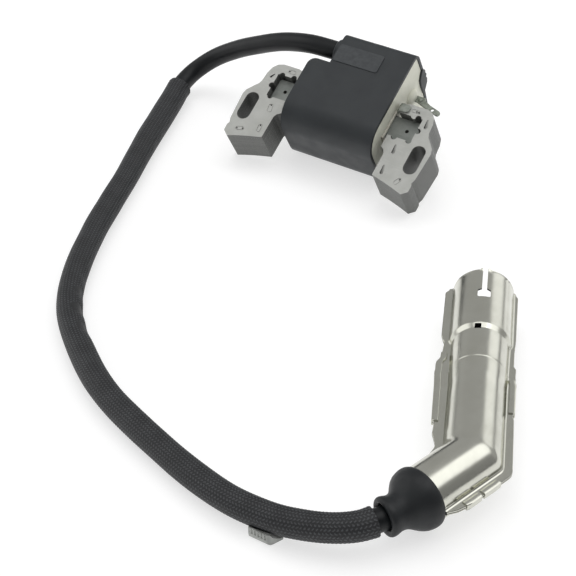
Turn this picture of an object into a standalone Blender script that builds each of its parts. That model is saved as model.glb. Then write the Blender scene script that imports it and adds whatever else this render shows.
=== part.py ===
"""Transistor ignition coil of a small engine, with its high-voltage lead and shielded plug cap.

The coil lies on a flat surface at z = 0, on the tips of its two pole legs and on the front
edge of its housing, so its core is tilted. The lead runs along the surface from the housing's
tower to the cap. Dimensions are in millimetres and MM turns them into metres.
"""
import math

import bmesh
import bpy
from mathutils import Matrix, Vector

MM = 0.001
GAP = 0.3

# Pose of the coil: its own frame has x along the winding, y away from the flywheel and
# z square to the legs' flat faces.
COIL_TILT = math.radians(29.137)
COIL_Y = -10.597
COIL_Z = 12.87

# Legs of the laminated core.
LEG_HALF = 7.0
POLE_ARC_RADIUS = 110.0
POLE_ARC_Y = -117.87
SLOT_X = 34.3
SLOT_WIDTH = 5.2
SLOT_SPREAD = 6.5
POCKET_Y = (6.2, 15.8)
POCKET_END_X = 29.8
MARK_RADIUS = 0.9
MARK_DEPTH = 0.35
MARKS = ((32.5, -9.6), (25.4, -7.1), (25.6, 1.7), (31.6, 14.4), (25.1, 18.0))

# Core bar through the winding.
BAR_Y = 11.0
BAR_WIDTH = 9.0
BAR_HALF = 4.0
BAR_END_X = 29.5
RIVET_X = 25.25
RIVET_RADIUS = 0.7

# Housing.
HOUSING_HALF = 18.5
HOUSING_BOTTOM = -16.33
WALL = 1.2
TOWER_X = -10.5
BARREL_BACK_Y = 23.5
BARREL_ROUND = 3.0
LEAD_Y = 31.0
LEAD_Z = 8.3
BOSS_RADIUS = 4.5
BOSS_X = -12.2
POTTING_X = (14.6, 18.2)

# Strap and windings.
STRAP_THICKNESS = 0.4
BOBBIN_HOLE = (9.6, 8.6)
BOBBIN_END = (11.4, 10.4)
BOBBIN_RADIUS = 7.0
BOBBIN_HALF = 18.8
BOBBIN_ROUND_X = (-16.5, 13.8)
PRIMARY_RADII = (7.3, 8.4)
SECONDARY_TUBE = (8.7, 9.2)
SECONDARY_FLANGE = 11.2
SECONDARY_X = (-16.7, 14.0)
SECONDARY_SECTIONS = 4
FLANGE_WIDTH = 0.8
WINDING_RADII = (9.5, 10.8)

# Lead, sleeve and the small clip on it.
LEAD_RADIUS = 3.5
CORE_RADIUS = 0.9
SLEEVE_WALL = 0.45
SLEEVE_RADII = (4.55, 4.2)
SLEEVE_NARROWS_Y = (-20.0, -60.0)
LEAD_STEP = 7.5
COLLAR_END = Vector((104.29, -159.62, 9.65))
LEAD_AXIS = Vector((-0.4993, -0.8649, -0.0523)).normalized()
LEAD_IN_BOOT = 8.0
LEAD_ROUTE = (
    (-4.0, 12.44, 35.21),
    (-10.0, 12.44, 35.21),
    (-16.0, 12.44, 35.21),
    (-24.0, 12.72, 34.70),
    (-36.0, 13.72, 31.60),
    (-48.5, 15.52, 25.80),
    (-60.0, 16.82, 19.60),
    (-70.0, 15.82, 13.20),
    (-75.7, 10.12, 8.20),
    (-76.3, 2.02, 5.90),
    (-73.7, -7.88, 4.90),
    (-69.8, -20.78, 4.70),
    (-65.6, -34.48, 4.60),
    (-56.8, -60.18, 4.50),
    (-47.2, -90.18, 4.40),
    (-37.1, -113.78, 4.40),
    (-26.3, -129.98, 4.40),
    (-9.4, -144.58, 4.40),
    (7.6, -154.88, 4.40),
    (25.5, -161.78, 4.40),
    (43.4, -167.68, 4.50),
    (55.0, -170.78, 4.80),
    (66.0, -172.38, 5.20),
    (78.3, -172.38, 6.00),
    (85.5, -171.28, 6.90),
    (91.8, -169.48, 7.80),
    (97.0, -167.18, 8.60),
    (100.4, -164.78, 9.10),
    (102.6, -162.28, 9.50),
)
SLEEVE_FROM = 12
SLEEVE_TO = -2
SLEEVE_END_PART = 0.55
CLIP_X = (70.2, 81.4)
CLIP_HUB = (-172.4, 5.9)
CLIP_SADDLE = 4.85
CLIP_RIBS = 9

# Plug cap: two straight arms that meet at an elbow; distances run from the elbow's centre.
ELBOW = Vector((114.70, -127.72, 9.71))
ARM_OUT = Vector((-0.40793, 0.91301, 0.0)).normalized()
ARM_IN = Vector((-0.27737, -0.96076, 0.0)).normalized()
SHEET = 0.5
MOUTH_RADIUS = 9.43
TUBE_RADIUS = 8.43
MOUTH_AT = 77.0
RIM_AT = 19.95
SHIELD_STATIONS = (
    (MOUTH_AT, MOUTH_RADIUS, 1.6, 0.9),
    (75.6, MOUTH_RADIUS, 2.5, 1.5),
    (54.0, MOUTH_RADIUS, 2.5, 1.4),
    (50.6, MOUTH_RADIUS, 1.6, 1.2),
    (49.6, 8.7, 2.4, 1.8),
    (45.0, 8.7, 2.6, 1.9),
    (41.0, 8.6, 3.8, 2.6),
    (36.9, 8.6, 4.0, 2.6),
    (36.0, TUBE_RADIUS, 4.0, 2.6),
    (9.0, TUBE_RADIUS, 3.6, 2.7),
)
LOWER_ARM_STATIONS = (
    (9.0, TUBE_RADIUS, 1.2, 2.9),
    (16.0, TUBE_RADIUS, 0.8, 2.4),
    (RIM_AT, TUBE_RADIUS, 0.6, 0.9),
)
KEYHOLE_WIDTH = 1.9
KEYHOLE_LENGTH = 13.6
KEYHOLE_FOOT = (4.0, 4.0)
LATCH_HOLE = 2.0
LATCH_ACROSS = 1.2
INSULATOR_RADIUS = 7.3
INSULATOR_TOP = 63.0
INSULATOR_LOW = 16.5
BOOT_INNER_END = 16.8
BOOT_PROFILE = (
    (0.0, 7.2), (3.15, 7.2), (3.25, 9.0), (4.2, 9.3), (6.6, 9.0), (8.8, 7.6), (10.6, 6.2),
    (12.4, 5.35), (13.9, 5.3), (15.4, 5.75), (16.4, 5.75), (16.8, 5.4),
)
BOOT_BORE = 3.8
RESISTOR = (16.0, 30.0, 2.6)
SPRING_SPAN = (30.6, 41.2)
SPRING_RADIUS = 2.2
SPRING_WIRE = 0.35
SPRING_TURNS = 5
TERMINAL = (42.4, 52.0)

COLOURS = {
    "steel_cut": ((0.50, 0.51, 0.48), 0.45, 0.9),
    "steel_bar": ((0.30, 0.32, 0.29), 0.5, 0.8),
    "black_plastic": ((0.045, 0.053, 0.058), 0.38, 0.0),
    "cream_resin": ((0.61, 0.61, 0.52), 0.55, 0.0),
    "white_plastic": ((0.72, 0.70, 0.62), 0.5, 0.0),
    "copper": ((0.62, 0.27, 0.13), 0.35, 0.9),
    "strip_steel": ((0.52, 0.52, 0.50), 0.35, 0.95),
    "tinned_brass": ((0.62, 0.58, 0.45), 0.35, 0.95),
    "green_board": ((0.05, 0.22, 0.10), 0.5, 0.0),
    "component_black": ((0.02, 0.02, 0.02), 0.5, 0.0),
    "component_tan": ((0.55, 0.42, 0.25), 0.5, 0.0),
    "lead_rubber": ((0.012, 0.013, 0.015), 0.35, 0.0),
    "wire_strand": ((0.60, 0.30, 0.16), 0.4, 0.9),
    "braid": ((0.035, 0.036, 0.038), 0.9, 0.0),
    "grey_plastic": ((0.30, 0.30, 0.29), 0.5, 0.0),
    "boot_rubber": ((0.018, 0.020, 0.023), 0.6, 0.0),
    "shield_steel": ((0.45, 0.43, 0.38), 0.3, 0.95),
    "insulator_black": ((0.02, 0.02, 0.02), 0.4, 0.0),
}


def clear_scene():
    """Start from an empty file."""
    for obj in list(bpy.data.objects):
        bpy.data.objects.remove(obj, do_unlink=True)


def material(key):
    """The Principled material of one colour key, made once."""
    found = bpy.data.materials.get(key)
    if found:
        return found
    colour, roughness, metallic = COLOURS[key]
    made = bpy.data.materials.new(key)
    made.use_nodes = True
    shader = made.node_tree.nodes["Principled BSDF"]
    shader.inputs["Base Color"].default_value = (*colour, 1.0)
    shader.inputs["Roughness"].default_value = roughness
    shader.inputs["Metallic"].default_value = metallic
    made.diffuse_color = (*colour, 1.0)
    return made


def finish_mesh(name, bm, key=None, smooth=False, frame=None):
    """Make an object of a bmesh built in millimetres."""
    bmesh.ops.scale(bm, vec=(MM, MM, MM), verts=bm.verts)
    bmesh.ops.recalc_face_normals(bm, faces=bm.faces)
    for face in bm.faces:
        face.smooth = smooth
    mesh = bpy.data.meshes.new(name)
    bm.to_mesh(mesh)
    bm.free()
    obj = bpy.data.objects.new(name, mesh)
    bpy.context.collection.objects.link(obj)
    if key:
        mesh.materials.append(material(key))
    if frame:
        obj.matrix_world = frame
    return obj


def coil_frame():
    """Placement of everything that is built in the coil's own frame."""
    place = Matrix.Translation((0.0, COIL_Y * MM, COIL_Z * MM))
    return place @ Matrix.Rotation(COIL_TILT, 4, "X")


def modify(target, tool, operation):
    """Cut, or join, one solid with another; the tool stays as a hidden wire object."""
    step = target.modifiers.new(tool.name, "BOOLEAN")
    step.operation = operation
    step.solver = "EXACT"
    step.object = tool
    tool.hide_render = True
    tool.display_type = "WIRE"


def cut(target, *tools):
    for tool in tools:
        modify(target, tool, "DIFFERENCE")


def join(target, *tools):
    for tool in tools:
        modify(target, tool, "UNION")


def rounded(corners, steps=4):
    """Outline whose corners (x, y, radius) are replaced by arcs."""
    outline = []
    for index, (x, y, radius) in enumerate(corners):
        here = Vector((x, y))
        if radius <= 0.0:
            outline.append(here)
            continue
        before = Vector(corners[index - 1][:2]) - here
        after = Vector(corners[(index + 1) % len(corners)][:2]) - here
        before.normalize()
        after.normalize()
        half = before.angle(after) / 2.0
        centre = here + (before + after).normalized() * (radius / math.sin(half))
        start = here + before * (radius / math.tan(half)) - centre
        end = here + after * (radius / math.tan(half)) - centre
        angle = math.atan2(start.y, start.x)
        sweep = math.atan2(end.y, end.x) - angle
        sweep = (sweep + math.pi) % (2.0 * math.pi) - math.pi
        for step in range(steps + 1):
            turn = angle + sweep * step / steps
            outline.append(centre + Vector((math.cos(turn), math.sin(turn))) * radius)
    return outline


def circle(x, y, radius, count=24):
    """Outline of a circle."""
    angles = [2.0 * math.pi * i / count for i in range(count)]
    return [Vector((x + radius * math.cos(a), y + radius * math.sin(a))) for a in angles]


def rectangle(x, y, width, height):
    """Outline of an upright rectangle about its centre."""
    w = width / 2.0
    h = height / 2.0
    return [Vector((x - w, y - h)), Vector((x + w, y - h)), Vector((x + w, y + h)), Vector((x - w, y + h))]


def add_prism(bm, outline, low, high, plane):
    """Add the solid of an outline in the xy or yz plane, swept from low to high."""
    ends = []
    for level in (low, high):
        if plane == "xy":
            ends.append([bm.verts.new((p.x, p.y, level)) for p in outline])
        else:
            ends.append([bm.verts.new((level, p.x, p.y)) for p in outline])
    bm.faces.new(ends[0])
    bm.faces.new(ends[1])
    for i in range(len(outline)):
        j = (i + 1) % len(outline)
        bm.faces.new((ends[0][i], ends[0][j], ends[1][j], ends[1][i]))


def prism(name, outline, low, high, plane, key=None, smooth=False, frame=None):
    """One solid of an outline."""
    bm = bmesh.new()
    add_prism(bm, outline, low, high, plane)
    return finish_mesh(name, bm, key, smooth, frame)


def loft(name, rings, key=None, smooth=True, frame=None, closed=False):
    """Skin over rings of points; the ends are capped unless the row of rings is closed."""
    bm = bmesh.new()
    rows = [[bm.verts.new(p) for p in ring] for ring in rings]
    count = len(rows[0])
    spans = len(rows) if closed else len(rows) - 1
    for r in range(spans):
        lower = rows[r]
        upper = rows[(r + 1) % len(rows)]
        for i in range(count):
            j = (i + 1) % count
            bm.faces.new((lower[i], lower[j], upper[j], upper[i]))
    if not closed:
        bm.faces.new(rows[0])
        bm.faces.new(rows[-1])
    obj = finish_mesh(name, bm, key, smooth, frame)
    return obj


def square_to(axis):
    """Two unit directions square to an axis."""
    guide = Vector((0.0, 0.0, 1.0))
    side = axis.cross(guide)
    if side.length < 0.1:
        side = axis.cross(Vector((0.0, 1.0, 0.0)))
    side.normalize()
    return side, side.cross(axis).normalized()


def ring_points(centre, side, up, radius, count):
    """A ring of points about a centre."""
    points = []
    for i in range(count):
        turn = 2.0 * math.pi * i / count
        points.append(centre + (side * math.cos(turn) + up * math.sin(turn)) * radius)
    return points


def turned(name, profile, origin, axis, key=None, count=32, frame=None, hollow=False):
    """Round solid: profile points (distance along the axis, radius).

    A hollow solid's profile is a closed loop that stays off the axis.
    """
    side, up = square_to(axis)
    rings = [ring_points(origin + axis * s, side, up, r, count) for s, r in profile]
    return loft(name, rings, key, True, frame, closed=hollow)


def tube_profile(low, high, inner, outer):
    """Closed profile of a plain tube."""
    return ((low, inner), (low, outer), (high, outer), (high, inner))


# ---------------------------------------------------------------- core

def leg_outline(side):
    """Outline of one leg: pole tip, edge by the bolt slot, lobe and the bar's pocket."""
    pole = []
    for x in (22.76, 26.0, 29.3, 32.5, 35.76):
        pole.append((x, POLE_ARC_Y + math.sqrt(POLE_ARC_RADIUS ** 2 - x ** 2)))
    outer = [
        (37.9, -12.1), (37.95, -9.6), (37.5, -8.6), (38.1, -6.9), (38.8, 4.0), (38.3, 5.9),
        (36.2, 8.5), (35.0, 9.8), (34.5, 11.2), (34.2, 14.9), (33.4, 17.6), (31.8, 19.4), (29.6, 20.1),
    ]
    inner = [
        (23.5, 20.1), (22.35, 19.87), (21.38, 19.22), (20.73, 18.25), (20.5, 17.1),
        (20.5, POCKET_Y[1]), (POCKET_END_X, POCKET_Y[1]),
        (POCKET_END_X, POCKET_Y[0]), (20.5, POCKET_Y[0]), (20.5, 1.2), (22.0, 0.2), (22.7, -1.2),
    ]
    outline = [Vector((side * x, y)) for x, y in pole + outer + inner]
    if side < 0:
        outline.reverse()
    return outline


def slot_outline(x):
    """Outline of a bolt slot that runs along y."""
    reach = (SLOT_SPREAD + SLOT_WIDTH) / 2.0
    half = SLOT_WIDTH / 2.0
    r = half - 0.01
    corners = ((x - half, -reach, r), (x + half, -reach, r), (x + half, reach, r), (x - half, reach, r))
    return rounded(corners, 6)


def build_leg(name, side):
    """One laminated leg."""
    frame = coil_frame()
    leg = prism(name, leg_outline(side), -LEG_HALF, LEG_HALF, "xy", "steel_cut", frame=frame)
    slot = prism(name + "_slot_cut", slot_outline(side * SLOT_X), -9.0, 9.0, "xy", frame=frame)
    lobes = bmesh.new()
    if side > 0:
        places = ((28.1, 15.7), (30.2, 10.9), (28.9, 6.3), (23.2, 6.1))
    else:
        places = ((-28.2, 15.7), (-30.0, 10.7), (-28.2, 6.3), (-23.3, 15.9))
    for x, y in places:
        add_prism(lobes, circle(x, y, 1.1, 16), -9.0, 9.0, "xy")
    lobe_cut = finish_mesh(name + "_lobe_cut", lobes, frame=frame)
    marks = bmesh.new()
    for x, y in MARKS:
        for low, high in ((LEG_HALF - MARK_DEPTH, 8.0), (-8.0, MARK_DEPTH - LEG_HALF)):
            add_prism(marks, circle(side * x, y, MARK_RADIUS, 12), low, high, "xy")
    mark_cut = finish_mesh(name + "_mark_cut", marks, frame=frame)
    cut(leg, slot, lobe_cut, mark_cut)
    return leg


def build_bar():
    """Bar of laminations that carries the windings; its ends sit in the legs' pockets."""
    frame = coil_frame()
    e = BAR_END_X
    w = BAR_WIDTH / 2.0
    corners = (
        (-e, BAR_Y - w, 0.6), (e, BAR_Y - w, 0.6), (e, BAR_Y + w, 0.6), (-e, BAR_Y + w, 0.6),
    )
    bar = prism("core_bar", rounded(corners), -BAR_HALF, BAR_HALF, "xy", "steel_bar", frame=frame)
    holes = bmesh.new()
    for side in (-1, 1):
        add_prism(holes, circle(side * RIVET_X, BAR_Y, RIVET_RADIUS, 16), -6.0, 6.0, "xy")
    cut(bar, finish_mesh("core_bar_rivet_cut", holes, frame=frame))


# ---------------------------------------------------------------- housing

def housing_outline(inset):
    """Section of the housing across the winding, moved in by an inset."""
    i = inset
    corners = (
        (-3.8 + i, HOUSING_BOTTOM + i, 9.0 - i),
        (33.35 - i, HOUSING_BOTTOM + i, max(1.5 - i, 0.3)),
        (34.65 - i, -6.6 + i * 0.5, 0.0),
        (37.2 - i, -5.0 + i * 0.5, 0.5),
        (37.2 - i, 12.9 - i, 3.0 - i),
        (-3.8 + i, 12.9 - i, 9.0 - i),
    )
    return rounded(corners, 6)


def notch_outline():
    """Space beside the tower, with the barrel's corner rounded."""
    r = BARREL_ROUND
    outline = [Vector((-24.0, 45.0)), Vector((-24.0, BARREL_BACK_Y - r))]
    for step in range(7):
        a = math.pi - math.pi * step / 12.0
        x = r - HOUSING_HALF + r * math.cos(a)
        outline.append(Vector((x, BARREL_BACK_Y - r + r * math.sin(a))))
    return outline + [Vector((TOWER_X, BARREL_BACK_Y)), Vector((TOWER_X, 45.0))]


def build_housing():
    """Moulded case, open at its right-hand end, with the tower that the lead leaves."""
    frame = coil_frame()
    case = prism(
        "coil_housing", housing_outline(0.0), -HOUSING_HALF, HOUSING_HALF, "yz", "black_plastic", frame=frame
    )
    axis = Vector((1.0, 0.0, 0.0))
    boss = turned(
        "housing_boss_add", ((BOSS_X, BOSS_RADIUS - 0.5), (BOSS_X + 0.5, BOSS_RADIUS), (-9.8, BOSS_RADIUS)),
        Vector((0.0, LEAD_Y, LEAD_Z)), axis, frame=frame,
    )
    patch = prism(
        "housing_patch_add", rounded(((-10.0, 24.6, 0.8), (8.0, 24.6, 0.8), (8.0, 31.8, 0.8), (-10.0, 31.8, 0.8))),
        12.2, 13.15, "xy", frame=frame,
    )
    notch = prism("housing_notch_cut", notch_outline(), -20.0, 20.0, "xy", frame=frame)
    cavity = prism(
        "housing_cavity_cut", housing_outline(WALL), TOWER_X + WALL, HOUSING_HALF + 2.0, "yz", frame=frame
    )
    back = BARREL_BACK_Y - WALL
    low = HOUSING_BOTTOM + WALL
    barrel_corners = ((-2.6, low, 7.8), (back, low, 1.0), (back, 11.7, 1.0), (-2.6, 11.7, 7.8))
    barrel = prism(
        "housing_barrel_cut", rounded(barrel_corners, 6), WALL - HOUSING_HALF, TOWER_X + WALL + 1.0, "yz",
        frame=frame,
    )
    window = prism(
        "housing_window_cut", rectangle(BAR_Y, 0.0, BOBBIN_END[0] + 0.6, BOBBIN_END[1] + 0.6),
        -HOUSING_HALF - 1.0, -HOUSING_HALF + WALL + 1.0, "yz", frame=frame,
    )
    lead_hole = turned(
        "housing_lead_cut", ((-14.0, LEAD_RADIUS + GAP), (-2.0, LEAD_RADIUS + GAP)),
        Vector((0.0, LEAD_Y, LEAD_Z)), axis, frame=frame,
    )
    cut(case, notch)
    join(case, boss, patch)
    cut(case, cavity, barrel, window, lead_hole)


def build_potting():
    """Resin that closes the housing's open end around the bobbin and the two terminals."""
    frame = coil_frame()
    plug = prism(
        "potting_fill", housing_outline(WALL + GAP), POTTING_X[0], POTTING_X[1], "yz", "cream_resin", frame=frame
    )
    bobbin = rectangle(BAR_Y, 0.0, BOBBIN_END[0] + 0.6, BOBBIN_END[1] + 0.6)
    strap = rectangle(19.7, 2.0, 4.0, 1.4)
    blade = rectangle(26.6, 0.9, 6.2, 4.2)
    for name, outline in (("bobbin", bobbin), ("strap", strap), ("blade", blade)):
        cut(plug, prism("potting_" + name + "_cut", outline, 12.0, 20.0, "yz", frame=frame))


# ---------------------------------------------------------------- windings

def build_windings():
    """Primary and secondary windings on their bobbins, around the bar."""
    frame = coil_frame()
    axis = Vector((1.0, 0.0, 0.0))
    centre = Vector((0.0, BAR_Y, 0.0))
    low, high = BOBBIN_ROUND_X
    bobbin = turned(
        "primary_bobbin", ((low - 0.4, BOBBIN_RADIUS), (high + 0.4, BOBBIN_RADIUS)), centre, axis,
        "white_plastic", frame=frame,
    )
    end = rectangle(BAR_Y, 0.0, *BOBBIN_END)
    left = prism("bobbin_left_add", end, -BOBBIN_HALF, low, "yz", frame=frame)
    right = prism("bobbin_right_add", end, high, BOBBIN_HALF, "yz", frame=frame)
    hole = prism("bobbin_hole_cut", rectangle(BAR_Y, 0.0, *BOBBIN_HOLE), -25.0, 25.0, "yz", frame=frame)
    join(bobbin, left, right)
    cut(bobbin, hole)
    inner, outer = PRIMARY_RADII
    turned(
        "primary_winding", tube_profile(low + 0.5, high - 0.5, inner, outer), centre, axis, "copper",
        frame=frame, hollow=True,
    )
    build_secondary(frame, centre, axis)


def build_secondary(frame, centre, axis):
    """Secondary bobbin with its flanges, and one winding section between each two flanges."""
    low, high = SECONDARY_X
    tube_in, tube_out = SECONDARY_TUBE
    section = (high - low - FLANGE_WIDTH) / SECONDARY_SECTIONS
    outline = [(low, tube_in)]
    for i in range(SECONDARY_SECTIONS + 1):
        start = low + section * i
        outline.append((start, SECONDARY_FLANGE))
        outline.append((start + FLANGE_WIDTH, SECONDARY_FLANGE))
        if i < SECONDARY_SECTIONS:
            outline.append((start + FLANGE_WIDTH, tube_out))
            outline.append((start + section, tube_out))
    outline.append((high, tube_in))
    turned("secondary_bobbin", outline, centre, axis, "white_plastic", frame=frame, hollow=True)
    for i in range(SECONDARY_SECTIONS):
        start = low + section * i + FLANGE_WIDTH + GAP
        finish = low + section * (i + 1) - GAP
        turned(
            "secondary_winding_%d" % (i + 1), tube_profile(start, finish, *WINDING_RADII), centre, axis,
            "copper", frame=frame, hollow=True,
        )


# ---------------------------------------------------------------- terminals and trigger

def build_strap():
    """Strip that earths the winding on the right-hand leg."""
    stations = [(14.9, 2.0, 0.0, 18.0, 21.4), (18.3, 2.0, 0.0, 18.0, 21.4)]
    for turn in (30, 60, 90):
        a = math.radians(turn)
        stations.append((18.3 + 1.2 * math.sin(a), 3.2 - 1.2 * math.cos(a), a, 17.2, 20.6))
    for turn in (90, 60, 30, 0):
        a = math.radians(turn)
        stations.append((20.7 - 1.2 * math.sin(a), 6.3 + 1.2 * math.cos(a), a, 16.1, 19.4))
    tongue = ((22.0, 16.1, 19.4), (23.2, 16.3, 19.2), (23.9, 16.9, 18.7))
    for x, y0, y1 in tongue:
        stations.append((x, 7.5, 0.0, y0, y1))
    rings = []
    half = STRAP_THICKNESS / 2.0
    for x, z, a, y0, y1 in stations:
        dx = -math.sin(a) * half
        dz = math.cos(a) * half
        rings.append([
            Vector((x - dx, y0, z - dz)), Vector((x - dx, y1, z - dz)),
            Vector((x + dx, y1, z + dz)), Vector((x + dx, y0, z + dz)),
        ])
    loft("ground_strap", rings, "strip_steel", False, coil_frame())


def build_kill_terminal():
    """Flat blade that the stop-switch wire pushes on to."""
    frame = coil_frame()
    corners = (
        (14.9, 25.2, 0.0), (19.0, 25.2, 0.8), (30.66, 21.63, 1.7), (31.74, 25.07, 1.7),
        (19.8, 28.8, 0.8), (14.9, 28.8, 0.0),
    )
    blade = prism("kill_terminal", rounded(corners, 5), -0.9, -0.1, "xy", "strip_steel", frame=frame)
    cut(blade, prism("blade_hole_cut", circle(27.6, 24.4, 0.9, 16), -3.0, 3.0, "xy", frame=frame))


def build_trigger():
    """Trigger circuit in the space behind the windings."""
    frame = coil_frame()
    prism("trigger_board", rectangle(25.1, -6.0, 1.2, 10.0), -8.0, 12.5, "yz", "green_board", frame=frame)
    body = rounded(((26.0, -9.2, 0.0), (30.4, -9.2, 1.6), (30.4, -4.4, 1.6), (26.0, -4.4, 0.0)))
    prism("trigger_transistor", body, -6.0, -1.2, "yz", "component_black", frame=frame)
    axis = Vector((1.0, 0.0, 0.0))
    profile = ((2.6, 0.9), (2.9, 1.3), (4.2, 1.3), (4.5, 1.1), (7.3, 1.1), (7.6, 1.3), (8.9, 1.3), (9.2, 0.9))
    turned("trigger_resistor", profile, Vector((0.0, 27.4, -4.0)), axis, "component_tan", 16, frame)
    turned(
        "tower_contact", ((-2.2, 1.2), (3.0, 1.2), (3.0, 2.6), (4.2, 2.6)), Vector((0.0, LEAD_Y, LEAD_Z)),
        axis, "tinned_brass", 20, frame,
    )


# ---------------------------------------------------------------- lead

def smooth_route(route, step):
    """Points at an even step along a smooth curve through the route points."""
    knots = [Vector(p) for p in route]
    knots = [knots[0] * 2.0 - knots[1]] + knots + [knots[-1] * 2.0 - knots[-2]]
    fine = []
    for i in range(1, len(knots) - 2):
        p0, p1, p2, p3 = knots[i - 1:i + 3]
        t0 = 0.0
        t1 = t0 + (p1 - p0).length ** 0.5
        t2 = t1 + (p2 - p1).length ** 0.5
        t3 = t2 + (p3 - p2).length ** 0.5
        for n in range(16):
            t = t1 + (t2 - t1) * n / 16.0
            a1 = p0 * ((t1 - t) / (t1 - t0)) + p1 * ((t - t0) / (t1 - t0))
            a2 = p1 * ((t2 - t) / (t2 - t1)) + p2 * ((t - t1) / (t2 - t1))
            a3 = p2 * ((t3 - t) / (t3 - t2)) + p3 * ((t - t2) / (t3 - t2))
            b1 = a1 * ((t2 - t) / (t2 - t0)) + a2 * ((t - t0) / (t2 - t0))
            b2 = a2 * ((t3 - t) / (t3 - t1)) + a3 * ((t - t1) / (t3 - t1))
            fine.append(b1 * ((t2 - t) / (t2 - t1)) + b2 * ((t - t1) / (t2 - t1)))
    fine.append(knots[-2])
    lengths = [0.0]
    for a, b in zip(fine, fine[1:]):
        lengths.append(lengths[-1] + (b - a).length)
    count = max(2, round(lengths[-1] / step))
    points = []
    place = 0
    for i in range(count + 1):
        want = lengths[-1] * i / count
        while place < len(fine) - 2 and lengths[place + 1] < want:
            place += 1
        part = (want - lengths[place]) / (lengths[place + 1] - lengths[place])
        points.append(fine[place].lerp(fine[place + 1], part))
    return points


def lead_points():
    """Centre line of the lead from inside the tower to inside the cap's boot."""
    outside = COLLAR_END + LEAD_AXIS * 1.0
    inside = COLLAR_END - LEAD_AXIS * LEAD_IN_BOOT
    route = list(LEAD_ROUTE) + [tuple(outside)]
    return smooth_route(route, LEAD_STEP) + [inside]


def path_frames(points):
    """Side and up directions carried along a path without twist."""
    frames = []
    up = Vector((0.0, 0.0, 1.0))
    last = len(points) - 1
    for i in range(len(points)):
        tangent = (points[min(i + 1, last)] - points[max(i - 1, 0)]).normalized()
        side = tangent.cross(up).normalized()
        up = side.cross(tangent).normalized()
        frames.append((side, up))
    return frames


def build_lead():
    """The lead as a free cord, its braided sleeve and the bared ends of its wire."""
    points = lead_points()
    data = bpy.data.curves.new("hv_lead", "CURVE")
    data.dimensions = "3D"
    data.bevel_depth = LEAD_RADIUS * MM
    data.bevel_resolution = 3
    data.use_fill_caps = True
    spline = data.splines.new("POLY")
    spline.points.add(len(points) - 1)
    for knot, point in zip(spline.points, points):
        knot.co = (*(point * MM), 1.0)
    data.materials.append(material("lead_rubber"))
    lead = bpy.data.objects.new("hv_lead", data)
    bpy.context.collection.objects.link(lead)

    start = points[0]
    along = Vector((1.0, 0.0, 0.0))
    turned("lead_core_coil_end", ((GAP, CORE_RADIUS), (1.5, CORE_RADIUS)), start, along, "wire_strand", 12)
    turned(
        "lead_core_cap_end", ((GAP, CORE_RADIUS), (1.5, CORE_RADIUS)), points[-1], -LEAD_AXIS,
        "wire_strand", 12,
    )
    build_sleeve(points)


def sleeve_radius(point):
    """The sleeve lies looser over its upper part."""
    start, end = SLEEVE_NARROWS_Y
    part = min(1.0, max(0.0, (point.y - start) / (end - start)))
    return SLEEVE_RADII[0] + (SLEEVE_RADII[1] - SLEEVE_RADII[0]) * part


def build_sleeve(points):
    """Woven sleeve over the part of the lead that lies on the surface."""
    covered = points[SLEEVE_FROM:SLEEVE_TO]
    frames = path_frames(points)[SLEEVE_FROM:SLEEVE_TO]
    covered.append(points[SLEEVE_TO - 1].lerp(points[SLEEVE_TO], SLEEVE_END_PART))
    frames.append(frames[-1])
    rings = []
    back = []
    for point, (side, up) in zip(covered, frames):
        radius = sleeve_radius(point)
        rings.append(ring_points(point, side, up, radius, 12))
        back.append(ring_points(point, side, up, radius - SLEEVE_WALL, 12))
    back.reverse()
    loft("braided_sleeve", rings + back, "braid", True, closed=True)


def build_clip():
    """Small ribbed saddle that sits against the sleeve near the cap, its two ends cut back."""
    low, high = CLIP_X
    hub = Vector(CLIP_HUB)
    outline = []
    for turn in range(203, 265, 10):
        a = math.radians(turn)
        outline.append(hub + Vector((math.cos(a), math.sin(a))) * CLIP_SADDLE)
    for across, height in ((-0.7, -5.6), (-4.4, -5.6), (-4.95, -5.1), (-5.15, -3.9), (-5.1, -1.7)):
        outline.append(hub + Vector((across, height)))
    clip = prism("lead_clip", outline, low, high, "yz", "grey_plastic")
    cuts = bmesh.new()
    pitch = (high - low - 1.6) / CLIP_RIBS
    for i in range(CLIP_RIBS):
        x = low + 0.8 + pitch * (i + 0.5)
        shape = [hub + Vector(p) for p in ((-6.0, -3.6), (-4.9, -3.6), (-4.85, 0.0), (-6.0, 0.0))]
        add_prism(cuts, shape, x - 0.28, x + 0.28, "yz")
    cut(clip, finish_mesh("clip_groove_cut", cuts))
    y = hub.x
    ends = bmesh.new()
    add_prism(ends, [Vector(p) for p in (
        (low - 1.0, y + 1.0), (low, y - 0.6), (low + 1.2, y - 3.6), (low + 2.6, y - 5.3), (low - 1.0, y - 7.0),
    )], -1.0, 8.0, "xy")
    add_prism(ends, [Vector(p) for p in (
        (high + 1.0, y + 1.0), (high, y + 0.4), (high - 1.8, y - 3.8), (high - 3.0, y - 5.3), (high + 1.0, y - 7.0),
    )], -1.0, 8.0, "xy")
    cut(clip, finish_mesh("clip_end_cut", ends))


# ---------------------------------------------------------------- plug cap

def cap_normal():
    """Direction square to the plane in which the two shield halves meet."""
    return ARM_OUT.cross(ARM_IN).normalized()


def elbow_stations(outer_list, inner_list, keep):
    """Ring frames down one arm, over the mitre and along the other: centre, side, stretch, data."""
    normal = cap_normal()
    rows = []
    side_out = normal.cross(ARM_OUT).normalized()
    side_in = normal.cross(-ARM_IN).normalized()
    for entry in outer_list:
        rows.append((ELBOW + ARM_OUT * entry[0], side_out, 1.0, entry[1:]))
    middle = (side_out + side_in).normalized()
    stretch = 1.0 / middle.dot(side_out)
    rows.append((ELBOW, middle, stretch, keep))
    for entry in inner_list:
        rows.append((ELBOW + ARM_IN * entry[0], side_in, 1.0, entry[1:]))
    return rows


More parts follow.
